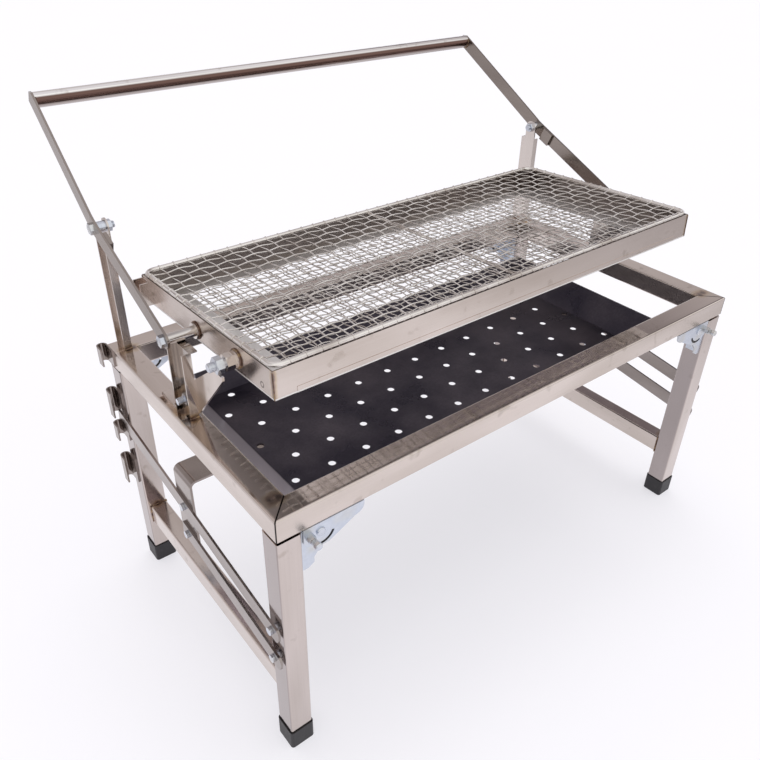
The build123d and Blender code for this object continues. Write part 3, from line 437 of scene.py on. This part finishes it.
# %% Zinc plate
def zinc_plate(name, satin, deep="#BCC2CE", light="#E2E5EC"):
    """Bright zinc plating with clouds and a faint straw film."""
    material = new_finish(name, Metallic=1.0)
    place = add(material, "TexCoord").outputs["Object"]
    # Plating clouds about 6 mm wide, and straw film in patches of about 25 mm
    cloud = add(material, "TexNoise", {"Vector": place, "Scale": 1 / 0.006, "Detail": 4.0}).outputs["Fac"]
    film = add(material, "TexNoise", {"Vector": place, "Scale": 1 / 0.025, "Detail": 1.0}).outputs["Fac"]
    pale = add(material, "Mix", {0: cloud, 6: colour(deep), 7: colour(light)}, data_type="RGBA")
    sheen = add(material, "MapRange", {"Value": cloud, "To Min": satin, "To Max": satin + 0.16})
    bump = add(material, "Bump", {"Height": cloud, "Strength": 0.05, "Distance": 0.0003})
    connect(material, Base_Color=pale.outputs[2], Roughness=sheen.outputs["Result"],
            Normal=bump.outputs["Normal"])
    straw = add(material, "MapRange", {"Value": film, "From Min": 0.5, "From Max": 0.8, "To Max": 0.4})
    overlay(material, straw.outputs["Result"], "#D2C7A8")
    return material


zinc = zinc_plate("zinc_plated_steel", 0.25, "#C0C7D4", "#DDE2EB")
bolt_zinc = zinc_plate("zinc_plated_bolt", 0.12)
corners = [end + "_" + side for end in ("front", "rear") for side in ("left", "right")]
dress(zinc, *[c + "_rail_plate" for c in corners], *pair("leg_plates"))
dress(bolt_zinc, *[c + "_lock_pin" for c in corners], *pair("leg_screws"), *pair("hanger_screws"),
      "fold_rivets", "pivot_bolts", "pivot_spacers", "rest_arm_bolts", "shaft_bolts", "stub_bolts")

# %% [markdown]
# ## The charcoal pan
# The pan is sheet steel that fires have turned blue-black: a dark oxide with a purple cast. One end wall is
# painted a paler purple grey, painted light on that wall. Two scales of cloud keep it from looking painted.

# %% Fire-blackened sheet
pan_steel = new_finish("fire_blackened_sheet", Metallic=0.7)
place = add(pan_steel, "TexCoord").outputs["Object"]
# Oxide clouds about 70 mm wide and specks about 3 mm wide
oxide = add(pan_steel, "TexNoise", {"Vector": place, "Scale": 1 / 0.07, "Detail": 5.0}).outputs["Fac"]
speck = add(pan_steel, "TexNoise", {"Vector": place, "Scale": 1 / 0.003, "Detail": 2.0}).outputs["Fac"]
spread = add(pan_steel, "MapRange", {"Value": oxide, "From Min": 0.35, "From Max": 0.7}).outputs["Result"]
dark = add(pan_steel, "Mix", {0: spread, 6: colour("#2E2A36"), 7: colour("#4E4850")}, data_type="RGBA")
dusty = add(pan_steel, "Mix", {0: 0.3, 6: dark.outputs[2], 7: speck}, data_type="RGBA",
            blend_type="SOFT_LIGHT")
matt = add(pan_steel, "MapRange", {
    "Value": oxide, "From Min": 0.35, "From Max": 0.7, "To Min": 0.26, "To Max": 0.46})
bump = add(pan_steel, "Bump", {"Height": speck, "Strength": 0.08, "Distance": 0.0003})
connect(pan_steel, Base_Color=dusty.outputs[2], Roughness=matt.outputs["Result"],
        Normal=bump.outputs["Normal"])
# The left end wall is painted a pale purple grey, painted light on that wall; it starts where the floor ends,
# 37 mm from the pan's edge
pan_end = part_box("charcoal_pan")[1].x
aside = add(pan_steel, "SeparateXYZ", {0: place}).outputs["X"]
wall = add(pan_steel, "MapRange", {
    "Value": aside, "From Min": 0.037 - pan_end, "From Max": 0.034 - pan_end, "To Max": 0.9})
overlay(pan_steel, wall.outputs["Result"], "#CFC6CD")
dress(pan_steel, "charcoal_pan")

# %% [markdown]
# ## Foot caps
# Black polyethylene caps, injection moulded with a fine grain. The grain is bump, and scuffs lift the tone a
# little in patches.

# %% Black polyethylene
cap = new_finish("black_polyethylene", IOR=1.51)
place = add(cap, "TexCoord").outputs["Object"]
# Moulded grain of about 0.8 mm, scuffs of about 9 mm
grain = add(cap, "TexNoise", {"Vector": place, "Scale": 1 / 0.0008, "Detail": 2.0}).outputs["Fac"]
scuff = add(cap, "TexNoise", {"Vector": place, "Scale": 1 / 0.009, "Detail": 3.0}).outputs["Fac"]
worn = add(cap, "MapRange", {"Value": scuff, "From Min": 0.5, "From Max": 0.8, "To Max": 0.5})
black = add(cap, "Mix", {0: worn.outputs["Result"], 6: colour("#1B181C"), 7: colour("#3A363A")},
            data_type="RGBA")
soft = add(cap, "MapRange", {"Value": scuff, "To Min": 0.36, "To Max": 0.6})
bump = add(cap, "Bump", {"Height": grain, "Strength": 0.15, "Distance": 0.0002})
connect(cap, Base_Color=black.outputs[2], Roughness=soft.outputs["Result"], Normal=bump.outputs["Normal"])
dress(cap, *pair("foot_caps"))

# %% [markdown]
# ## Wire
# The nets, their rim and their rod are drawn stainless wire: bright, with fine marks from the drawing die and
# darker where the fire reached it. Both patterns are noise, a fine one for the sheen and a wide one for the
# tone.

# %% Drawn wire
wire = new_finish("drawn_stainless_wire", Metallic=1.0)
place = add(wire, "TexCoord").outputs["Object"]
# Drawing marks about 1.5 mm long, and darker heat clouds about 60 mm wide
marks = add(wire, "TexNoise", {"Vector": place, "Scale": 1 / 0.0015, "Detail": 2.0}).outputs["Fac"]
heat = add(wire, "TexNoise", {"Vector": place, "Scale": 1 / 0.06, "Detail": 3.0}).outputs["Fac"]
warm = add(wire, "MapRange", {"Value": heat, "From Min": 0.45, "From Max": 0.75, "To Max": 0.7})
tint = add(wire, "Mix", {0: warm.outputs["Result"], 6: colour("#EAE5E0"), 7: colour("#B0A49B")},
           data_type="RGBA")
dull = add(wire, "MapRange", {"Value": marks, "To Min": 0.16, "To Max": 0.3})
bump = add(wire, "Bump", {"Height": marks, "Strength": 0.05, "Distance": 0.0001})
connect(wire, Base_Color=tint.outputs[2], Roughness=dull.outputs["Result"], Normal=bump.outputs["Normal"])
dress(wire, "top_net_rim", "top_net_rod")

# %% [markdown]
# ## Weaving
# Both nets are woven from crimped wire: each wire goes over one crossing and under the next. A texture with
# see-through gaps would look flat from the side, so the wire is modelled. The first wire each way is a
# ring of six vertices, extruded step by step along its wave, and all the others are copies of it.

# %% Weaving functions
def crimped_wire(bm, thick, pitch, gaps, sides, steps):
    """One wire along x, centred, that rises and falls by half its thickness at the crossings."""
    start = Matrix.Translation((-gaps * pitch / 2, 0, thick / 2)) @ Matrix.Rotation(math.pi / 2, 4, "Y")
    ring = bmesh.ops.create_circle(bm, segments=sides, radius=thick / 2, cap_ends=True, matrix=start)["verts"]
    made = list(ring)
    edges = list({e for v in ring for e in v.link_edges})
    height = thick / 2
    for step in range(1, gaps * steps + 1):
        wave = thick / 2 * math.cos(math.pi * step / steps)
        grown = bmesh.ops.extrude_edge_only(bm, edges=edges)["geom"]
        ring = [g for g in grown if isinstance(g, bmesh.types.BMVert)]
        edges = [g for g in grown if isinstance(g, bmesh.types.BMEdge)]
        bmesh.ops.translate(bm, verts=ring, vec=(pitch / steps, 0, wave - height))
        height = wave
        made += ring
    bmesh.ops.contextual_create(bm, geom=edges)
    return made


def copy_of(bm, verts):
    """A copy of connected geometry, as its vertices."""
    edges = list({e for v in verts for e in v.link_edges})
    faces = list({f for v in verts for f in v.link_faces})
    made = bmesh.ops.duplicate(bm, geom=list(verts) + edges + faces)["geom"]
    return [g for g in made if isinstance(g, bmesh.types.BMVert)]


def weave(thick, size, gaps, sides, steps):
    """Two families of crimped wires, flat and centred, that pass over and under each other."""
    bm = bmesh.new()
    for turned in (False, True):
        long, wide = (gaps[1], gaps[0]) if turned else gaps
        pitch, spacing = (size[1] / long, size[0] / wide) if turned else (size[0] / long, size[1] / wide)
        first = crimped_wire(bm, thick, pitch, long, sides, steps)
        if turned:
            bmesh.ops.rotate(bm, verts=first, matrix=Matrix.Rotation(math.pi / 2, 3, "Z"))
            bmesh.ops.scale(bm, verts=first, vec=(1, 1, -1))
        for number in range(2, wide):
            copy = copy_of(bm, first)
            if number % 2 == 0:
                bmesh.ops.scale(bm, verts=copy, vec=(1, 1, -1))
            away = (number - wide / 2) * spacing
            bmesh.ops.translate(bm, verts=copy, vec=(away, 0, 0) if turned else (0, away, 0))
        away = (1 - wide / 2) * spacing
        bmesh.ops.translate(bm, verts=first, vec=(away, 0, 0) if turned else (0, away, 0))
    return bm


def hooks(bm, thick, size, gaps, bar):
    """Each wire's end bent up and over the lid's rim, a wire of radius bar: a ring spun round the rim."""
    # The wire is pressed into the rim by a third of its thickness
    around = bar + thick / 6
    for turned in (False, True):
        length, width, count = (size[1], size[0], gaps[0]) if turned else (size[0], size[1], gaps[1])
        edge = Vector((length / 2, 0, 0))
        start = Matrix.Translation(edge) @ Matrix.Rotation(math.radians(-25), 4, "Y")
        known = set(bm.verts)
        ring = bmesh.ops.create_circle(bm, segments=6, radius=thick / 2,
                                       matrix=start @ Matrix.Translation((-around, 0, 0)))["verts"]
        edges = list({e for v in ring for e in v.link_edges})
        last = bmesh.ops.spin(bm, geom=ring + edges, cent=edge, axis=(0, 1, 0),
                              angle=math.radians(215), steps=8)["geom_last"]
        bmesh.ops.contextual_create(bm, geom=[g for g in last if isinstance(g, bmesh.types.BMEdge)])
        hook = [v for v in bm.verts if v not in known]
        for end in (0, math.pi):
            for number in range(1, count):
                aside = Matrix.Translation((0, (number - count / 2) * width / count, 0))
                turn = Matrix.Rotation(end + (math.pi / 2 if turned else 0), 4, "Z")
                bmesh.ops.transform(bm, matrix=turn @ aside, verts=copy_of(bm, hook))
        bmesh.ops.delete(bm, geom=hook, context="VERTS")


def as_piece(bm, name, material, smooth=True):
    """Turns a bmesh into an object at the origin with its finish, shaded smooth or flat."""
    bmesh.ops.recalc_face_normals(bm, faces=bm.faces)
    for face in bm.faces:
        face.smooth = smooth
    mesh = bpy.data.meshes.new(name)
    bm.to_mesh(mesh)
    bm.free()
    mesh.materials.append(material)
    piece = bpy.data.objects.new(name, mesh)
    bpy.context.scene.collection.objects.link(piece)
    print(name, len(mesh.polygons), "faces")
    return piece


tilt = Matrix.Rotation(-lean, 4, "X")
print("nets are woven flat, then tilted by", round(math.degrees(lean), 1), "degrees")

# %% [markdown]
# ## The two nets
# The lid's net hangs in a thick rim, and the ends of its wires are bent over that rim. The basket's net is
# finer and lies under the tray's flange. Each replaces the plain plate that stands for it in the CAD model,
# and rides on the same body.

# %% Lid net and basket net
rim_low, rim_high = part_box("top_net_rim")
# Wire of 1.8 mm in a rim of 6 mm wire; the bent ends are 1.6 mm
rim_wire, lid_wire, hook_wire = 0.006, 0.0018, 0.0016
lid_size, lid_gaps = (rim_high.x - rim_low.x - rim_wire, 0.306), (36, 16)
bm = weave(lid_wire, lid_size, lid_gaps, 6, 6)
hooks(bm, hook_wire, lid_size, lid_gaps, rim_wire / 2)
bmesh.ops.transform(bm, matrix=Matrix.Translation((rim_low + rim_high) / 2) @ tilt, verts=bm.verts)
top_weave = as_piece(bm, "top_net_weave", wire)
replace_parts(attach(top_weave, "lid_net"), "top_net")

bottom_low, bottom_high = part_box("bottom_net")
basket_wire, basket_depth, basket_gaps = 0.0015, 0.288, (57, 24)
bm = weave(basket_wire, (bottom_high.x - bottom_low.x, basket_depth), basket_gaps, 6, 4)
# The weave is thicker than the plate, so it sits 0.9 mm lower to stay clear of the flange
bottom_centre = (bottom_low + bottom_high) / 2 - Vector((0, 0, 0.0009))
bmesh.ops.transform(bm, matrix=Matrix.Translation(bottom_centre) @ tilt, verts=bm.verts)
bottom_weave = as_piece(bm, "bottom_net_weave", wire)
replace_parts(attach(bottom_weave, "basket"), "bottom_net")

# %% [markdown]
# ## Weld beads
# Where two pieces were welded, the seam has a bead: drops of metal that overlap like scales, brown and straw
# from the heat. Each bead is a row of small balls along a path of points, half sunk in the steel. Some paths
# go round a tube, so a second function makes the points of an arc.

# %% Weld finish and beads
weld = new_finish("heat_tinted_weld", Metallic=1.0)
place = add(weld, "TexCoord").outputs["Object"]
# Tint patches about 5 mm wide
tint = add(weld, "TexNoise", {"Vector": place, "Scale": 1 / 0.005, "Detail": 2.0}).outputs["Fac"]
rings = add(weld, "ValToRGB", {"Fac": tint})
ramp = rings.color_ramp
ramp.elements[0].position, ramp.elements[0].color = 0.3, colour("#5A4438")
ramp.elements[1].position, ramp.elements[1].color = 0.72, colour("#B59B74")
ramp.elements.new(0.5).color = colour("#7D675C")
ripple = add(weld, "MapRange", {"Value": tint, "To Min": 0.2, "To Max": 0.42})
connect(weld, Base_Color=rings.outputs["Color"], Roughness=ripple.outputs["Result"])


def bead(bm, points, drop, step=None, sides=(-1, 1)):
    """A weld bead from point to point: drops of one radius, a step apart, at the named ends of the grill."""
    for start, end in zip(points, points[1:]):
        count = max(1, round((end - start).length / (step or drop)))
        for number in range(count):
            at = start.lerp(end, number / count)
            for side in sides:
                bmesh.ops.create_uvsphere(bm, u_segments=6, v_segments=4, radius=drop,
                                          matrix=Matrix.Translation((side * at.x, at.y, at.z)))


def arc(centre, radius, start, end, count):
    """Points on an arc in the plane across x, in degrees from the top."""
    turns = [math.radians(start + (end - start) * n / count) for n in range(count + 1)]
    return [centre + Vector((0, radius * math.sin(t), radius * math.cos(t))) for t in turns]


drop = 0.0013
print("weld drops", 1000 * drop, "mm in radius")

# %% [markdown]
# ## Where the beads lie
# Beads run round the feet of the posts, round the handle's ends, round shaft and stub on the basket, up the
# tray's corners, and round the ends of the braces. Each set rides on the body that it was welded to, so it
# moves along when the grill is folded or the basket is turned.

# %% Beads on the frame, the lever and the basket
bm = bmesh.new()
low, high = lever_foot
bead(bm, [Vector((high.x, low.y, rail_top)), Vector((low.x, low.y, rail_top)),
          Vector((low.x, high.y, rail_top)), Vector((high.x, high.y, rail_top))], drop)
for foot_y in (post_foot[0].y, post_foot[1].y):
    bead(bm, [Vector((post_foot[1].x, foot_y, rail_top)), Vector((low.x, foot_y, rail_top))], drop)
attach(as_piece(bm, "post_welds", weld), "frame")

bm = bmesh.new()
handle_end = Vector((handle_high.x - 0.001, (handle_low.y + handle_high.y) / 2, handle_z))
# The top stays free, so that the handle keeps its height
bead(bm, arc(handle_end, (handle_high.z - handle_low.z) / 2, 55, 305, 36), 0.0011)
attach(as_piece(bm, "handle_welds", weld), "lever")

bm = bmesh.new()
wall_out = Vector((0.0008, 0, 0))
bead(bm, arc(stub_at + wall_out, (stub_high.z - stub_low.z) / 2 + 0.0004, 0, 360, 44), drop)
bead(bm, arc(shaft_at + wall_out, (shaft_high.z - shaft_low.z) / 2 + 0.0004, 0, 360, 44), 0.0012)
for v in (tray_front, tray_rear):
    seam = [in_basket(tray_high.x, v, w) for w in (tray_bottom + 0.001, tray_top - 0.001)]
    bead(bm, seam, 0.0008)
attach(as_piece(bm, "basket_welds", weld), "basket")

# %% Beads on the leg braces
for name in ("left", "right"):
    low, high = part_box(name + "_leg_brace")
    outline = [(low.x, low.z), (high.x, low.z), (high.x, high.z), (low.x, high.z), (low.x, low.z)]
    bm = bmesh.new()
    for y in (low.y, high.y):
        # The box already lies on its own side, so x keeps its sign
        bead(bm, [Vector((x, y, z)) for x, z in outline], drop, step=0.0018, sides=(1,))
    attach(as_piece(bm, name + "_brace_welds", weld), name + "_legs")

# %% [markdown]
# ## Threads, bolt faces and springs
# A bolt shows its thread where it stands out of the nut, the end of a hexagon is turned to a flat cone, and a
# coil spring sits on each lock pin. Thread and spring are the same form: a small ring that is spun and moved
# on at the same time, which one spin operator does.

# %% Helix, thread and cone
def helix(bm, start, end, radius, thick, turns):
    """A round wire wound from start to end."""
    axis = (end - start).normalized()
    across = axis.orthogonal().normalized()
    facing = axis.cross(across).to_track_quat("Z", "Y").to_matrix().to_4x4()
    ring = bmesh.ops.create_circle(bm, segments=5, radius=thick / 2, cap_ends=True,
                                   matrix=Matrix.Translation(start + across * radius) @ facing)["verts"]
    edges = list({e for v in ring for e in v.link_edges})
    steps = 12 * turns
    last = bmesh.ops.spin(bm, geom=ring + edges, cent=start, axis=axis, dvec=(end - start) / steps,
                          angle=2 * math.pi * turns, steps=steps)["geom_last"]
    bmesh.ops.contextual_create(bm, geom=[g for g in last if isinstance(g, bmesh.types.BMEdge)])


def thread(bm, point, first, last, radius, thick, turns):
    """A bolt's thread, wound from one distance to another, both inwards from a point on its axis."""
    inward = Vector((-math.copysign(1, point.x), 0, 0))
    helix(bm, point + first * inward, point + last * inward, radius, thick, turns)


def turned_face(bm, centre, across_flats):
    """The flat cone on the outer end of a hexagon."""
    matrix = Matrix.Translation(centre) @ Matrix.Rotation(math.copysign(math.pi / 2, centre.x), 4, "Y")
    bmesh.ops.create_cone(bm, cap_ends=True, segments=24, radius1=across_flats * 0.49,
                          radius2=across_flats * 0.42, depth=0.0008, matrix=matrix)


# Bolts of 8 and 10 mm: radius and thickness of the thread's ridge, and the width of the hexagon
small_radius, small_ridge, small_hexagon = 0.004, 0.0009, 0.013
large_radius, large_ridge, large_hexagon = 0.005, 0.001, 0.017
print("threads of", 2000 * small_radius, "and", 2000 * large_radius, "mm")

# %% [markdown]
# ## Bolts and pins
# Threads show on the rest arms' bolts, at the lever's pivots and on the stubs, and each lock pin has a spring
# between collar and knob. Their places come from the boxes of the CAD bolts, so nothing is measured twice.

# %% Bolt threads
bm = bmesh.new()
arm_low, arm_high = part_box("rest_arm_bolts")
arm_at = (arm_low + arm_high) / 2
pivot_low, pivot_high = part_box("pivot_bolts")
pivot_at = (pivot_low + pivot_high) / 2
for side in (-1, 1):
    bolt_end = Vector((side * arm_high.x, arm_at.y, arm_at.z))
    thread(bm, bolt_end, 0.0088, 0.0006, small_radius, small_ridge, 7)
    post_face = Vector((side * lever_foot[0].x, pivot_at.y, pivot_at.z))
    thread(bm, post_face, 0.0056, 0.0088, small_radius, small_ridge, 3)
    turned_face(bm, Vector((side * pivot_high.x, pivot_at.y, pivot_at.z)), small_hexagon)
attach(as_piece(bm, "frame_threads", bolt_zinc), "frame")

bm = bmesh.new()
stub_bolt_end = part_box("stub_bolts")[1].x
shaft_bolt_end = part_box("shaft_bolts")[1].x
for side in (-1, 1):
    bolt_end = Vector((side * stub_bolt_end, stub_at.y, stub_at.z))
    thread(bm, bolt_end, 0.0078, 0.0014, large_radius, large_ridge, 5)
    turned_face(bm, bolt_end - Vector((side * 0.008, 0, 0)), large_hexagon)
    turned_face(bm, Vector((side * shaft_bolt_end, shaft_at.y, shaft_at.z)), small_hexagon)
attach(as_piece(bm, "basket_threads", bolt_zinc), "basket")

# %% Lock pin springs
# The spring fills the 5 mm between the pin's collar and its knob, which is 5 mm long
spring_start, spring_length, spring_radius, spring_wire = 0.0053, 0.0045, 0.0033, 0.0011
for name in corners:
    low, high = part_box(name + "_lock_pin")
    knob, inward = (low.y, 1) if name.startswith("front") else (high.y, -1)
    start = Vector(((low.x + high.x) / 2, knob + inward * spring_start, (low.z + high.z) / 2))
    bm = bmesh.new()
    helix(bm, start, start + Vector((0, inward * spring_length, 0)), spring_radius, spring_wire, 3)
    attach(as_piece(bm, name + "_pin_spring", bolt_zinc), name + "_lock_pin_body")

# %% [markdown]
# ## Painted shade in the guide slots
# Each leg plate turns on a rivet in its rail plate, and the guide slot round it lies in shade. That shade is
# painted: a black patch in the zinc finish would have a soft edge, so it is a curved strip of its own, a
# small rectangle spun round the rivet.

# %% Painted slot shade
shade_finish = new_finish("painted_slot_shade", IOR=1.48)
# Painted shade mottled in patches about 2 mm wide
shade_mottle = add(shade_finish, "TexNoise", {
    "Vector": add(shade_finish, "TexCoord").outputs["Object"], "Scale": 1 / 0.002, "Detail": 2.0}).outputs["Fac"]
# Painted shade: a near-black tone
shade_tone = add(shade_finish, "Mix", {0: shade_mottle, 6: colour("#0E0B0C"), 7: colour("#2A2425")}, data_type="RGBA")
shade_roughness = add(shade_finish, "MapRange", {"Value": shade_mottle, "To Min": 0.25, "To Max": 0.6})
connect(shade_finish, Base_Color=shade_tone.outputs[2], Roughness=shade_roughness.outputs["Result"])
print(shade_finish.name, "ready")

# %% Painted shade strips
# The rivet sits 14 mm inside the lock pin; the slot runs 17 mm round it, from 113 to 27 degrees below level
slot_radius, slot_start, slot_turn = 0.017, math.radians(113), math.radians(86)
strip_width, strip_depth, behind_face = 0.0033, 0.001, 0.0014
pin_low, pin_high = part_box("front_right_lock_pin")
rivet_x, rivet_z = (pin_low.x + pin_high.x) / 2 - 0.014, (pin_low.z + pin_high.z) / 2
bm = bmesh.new()
for side in (-1, 1):
    for y in (front_low.y + behind_face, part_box("rear_rail")[1].y - behind_face):
        rivet = Vector((side * rivet_x, y, rivet_z))
        spoke = Vector((-side * math.cos(slot_start), 0, -math.sin(slot_start)))
        turned = Matrix((spoke, (0, 1, 0), spoke.cross((0, 1, 0)))).transposed().to_4x4()
        size = Matrix.Diagonal((strip_width, strip_depth, 1, 1))
        start = Matrix.Translation(rivet + slot_radius * spoke) @ turned @ size
        quad = bmesh.ops.create_grid(bm, x_segments=1, y_segments=1, size=0.5, matrix=start)["verts"]
        edges = list({e for v in quad for e in v.link_edges})
        last = bmesh.ops.spin(bm, geom=quad + edges, cent=rivet, axis=(0, side, 0),
                              angle=slot_turn, steps=10)["geom_last"]
        bmesh.ops.contextual_create(bm, geom=[g for g in last if isinstance(g, bmesh.types.BMEdge)])
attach(as_piece(bm, "slot_shade_strip", shade_finish), "frame")

# %% [markdown]
# ## The tray's hem and end strips
# Along the front wall's lower edge the flange's sheet is turned up outside: a strip 7 mm high that starts
# 27 mm from each corner and catches a thin line of shadow. Inside, a strip of unpolished sheet lies on the
# flange at each end and reaches out over the net; its steel is painted nearly white, a painted highlight
# where it lies in shade. Both are thin boxes, made flat and leant with the basket.

# %% Hem strip
hem_size = (2 * tray_high.x - 2 * 0.027, 0.0006, 0.007)
bm = bmesh.new()
strip = bmesh.ops.create_cube(bm, size=1.0)["verts"]
bmesh.ops.scale(bm, verts=strip, vec=hem_size)
hem_at = in_basket(0, tray_front - 0.0002, tray_bottom + 0.0036)
bmesh.ops.transform(bm, matrix=Matrix.Translation(hem_at) @ tilt, verts=strip)
hem = as_piece(bm, "tray_hem", tray_steel, smooth=False)
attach(hem, "basket")

# %% End strips
# Painted highlight: the strip's steel is painted nearly white, as it lies in shade
painted_highlight_mill_steel = stainless("painted_highlight_mill_strip", "y", light="#F6F4F2", deep="#D2D0CD", polish=0.42,
                       cloud=(0.03, 0.02))
# Each touches the end wall and lies on the flange, both 1.5 mm sheet, with 1.5 mm of room at front and rear
sheet, end_width, end_thick = 0.0015, 0.045, 0.001
end_depth = tray_rear - tray_front - 4 * sheet
end_x, end_w = tray_high.x - sheet - end_width / 2, tray_bottom + sheet + end_thick / 2
bm = bmesh.new()
for side in (-1, 1):
    strip = bmesh.ops.create_cube(bm, size=1.0)["verts"]
    bmesh.ops.scale(bm, verts=strip, vec=(end_width, end_depth, end_thick))
    end_at = in_basket(side * end_x, tray_centre, end_w)
    bmesh.ops.transform(bm, matrix=Matrix.Translation(end_at) @ tilt, verts=strip)
strips = as_piece(bm, "net_end_strips", painted_highlight_mill_steel, smooth=False)
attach(strips, "basket")

# %% [markdown]
# ## Floor
# The setting is a plain studio: a pale sheet that runs out past the view. Seen straight or in the metal it
# glows a little too, which keeps the shadow light and soft. Polished metal shows its surroundings, and an
# endless white sheet would flatten it, so in the metal it grows darker to both sides, where a real one ends.

# %% Floor
floor = new_finish("pale_floor", Roughness=0.85)
place = add(floor, "TexCoord").outputs["Object"]
# Faint clouds about 400 mm wide, as paper has
paper = add(floor, "TexNoise", {"Vector": place, "Scale": 1 / 0.4, "Detail": 2.0}).outputs["Fac"]
white = add(floor, "Mix", {0: paper, 6: colour("#F8F7FC"), 7: colour("#FBFAFE")}, data_type="RGBA")
connect(floor, Base_Color=white.outputs[2])
path = add(floor, "LightPath").outputs
direct = add(floor, "Math", {0: path["Is Camera Ray"], 1: path["Is Glossy Ray"]}, operation="MAXIMUM")
seen = add(floor, "Math", {0: direct.outputs[0], 1: path["Is Transmission Ray"]}, operation="MAXIMUM")
share = add(floor, "Math", {0: seen.outputs[0], 1: 0.62}, operation="MULTIPLY").outputs[0]
aside = add(floor, "SeparateXYZ", {0: place}).outputs["X"]
right_end = add(floor, "MapRange", {"Value": aside, "From Min": 0.6, "From Max": 1.5}).outputs["Result"]
left_end = add(floor, "MapRange", {"Value": aside, "From Min": -0.6, "From Max": -0.8, "To Max": 0.6})
far = add(floor, "Math", {0: right_end, 1: left_end.outputs["Result"]}, operation="MAXIMUM").outputs[0]
far_in_metal = add(floor, "Math", {0: far, 1: path["Is Glossy Ray"]}, operation="MULTIPLY").outputs[0]
tone = add(floor, "Mix", {0: far_in_metal, 6: colour("#F8F7FC"), 7: colour("#6E6868")}, data_type="RGBA")
glow = add(floor, "Emission", {"Color": tone.outputs[2], "Strength": 1.0}).outputs[0]
both = add(floor, "MixShader", {0: share, 1: surface_of(floor).outputs["BSDF"], 2: glow}).outputs[0]
floor.node_tree.links.new(both, floor.node_tree.nodes["Material Output"].inputs["Surface"])
bm = bmesh.new()
bmesh.ops.create_circle(bm, segments=64, radius=30.0, cap_ends=True)
ground = as_piece(bm, "studio_floor", floor)

# %% [markdown]
# ## Sky, sun and camera
# The sky is lighter near the horizon and has a greyer band halfway up. Two more things stand in it for the
# metal to mirror: a darker corner of the room on the right, which the front rail's top shows, and a white
# wall of light in front, which draws the bright line along each rounded edge. One broad sun gives the soft
# shadow. The camera stands where the photograph was taken.

# %% Sky and sun
world = bpy.data.worlds.new("studio_sky")
world.use_nodes = True
bpy.context.scene.world = world
toward = add(world, "SeparateXYZ", {0: add(world, "TexCoord").outputs["Generated"]}).outputs
sky = add(world, "ValToRGB", {"Fac": toward["Z"]})
ramp = sky.color_ramp
ramp.elements[0].position, ramp.elements[0].color = 0.0, colour("#F6F5FB")
ramp.elements[1].position, ramp.elements[1].color = 1.0, colour("#E8E6EA")
for position, code in ((0.2, "#EFEEF4"), (0.4, "#C9C3C4"), (0.64, "#C4BEBE"), (0.82, "#DCD9DC")):
    ramp.elements.new(position).color = colour(code)
# The dark corner lies to the right, between two heights
rightward = add(world, "MapRange", {"Value": toward["X"], "From Min": 0.4, "From Max": 0.6}).outputs["Result"]
above = add(world, "MapRange", {"Value": toward["Z"], "From Min": 0.4, "From Max": 0.5}).outputs["Result"]
below = add(world, "MapRange", {"Value": toward["Z"], "From Min": 0.72, "From Max": 0.6}).outputs["Result"]
between = add(world, "Math", {0: above, 1: below}, operation="MULTIPLY").outputs[0]
dim = add(world, "Math", {0: rightward, 1: between}, operation="MULTIPLY").outputs[0]
room = add(world, "Mix", {0: dim, 6: sky.outputs["Color"], 7: colour("#7A7278")}, data_type="RGBA")
front = add(world, "MapRange", {"Value": toward["Y"], "From Min": -0.1, "From Max": -0.4}).outputs["Result"]
lit = add(world, "Mix", {0: front, 6: room.outputs[2], 7: colour("#FFFFFF")}, data_type="RGBA").outputs[2]
world.node_tree.links.new(lit, world.node_tree.nodes["Background"].inputs["Color"])
sun = bpy.data.lights.new("soft_sun", "SUN")
sun.energy, sun.angle, sun.color = 1.4, math.radians(50), colour("#FFFDFA")[:3]
lamp = bpy.data.objects.new("soft_sun", sun)
lamp.rotation_euler = (math.radians(-14), math.radians(10), 0)
# The bars mirror the sky alone, so that no edge burns out to white
lamp.visible_glossy = False
bpy.context.scene.collection.objects.link(lamp)
print(world.name, "and a sun of strength", round(sun.energy, 2))

# %% Camera
lens = bpy.data.cameras.new("photo_camera")
lens.sensor_width, lens.lens = 36.0, 35.958
lens.clip_start, lens.clip_end = 0.05, 100.0
camera = bpy.data.objects.new("photo_camera", lens)
right = Vector((0.78570125, -0.61838841, 0.01641103))
upward = Vector((0.33180214, 0.44366878, 0.83250547))
behind = Vector((-0.52209279, -0.64865537, 0.55377371))
turn = Matrix((right, upward, behind)).transposed().to_4x4()
camera.matrix_world = Matrix.Translation((-0.65854, -0.77046, 0.91268)) @ turn
bpy.context.scene.collection.objects.link(camera)
bpy.context.scene.camera = camera
bpy.context.scene.view_settings.view_transform = "Standard"
print("camera at", [round(c, 3) for c in camera.location])
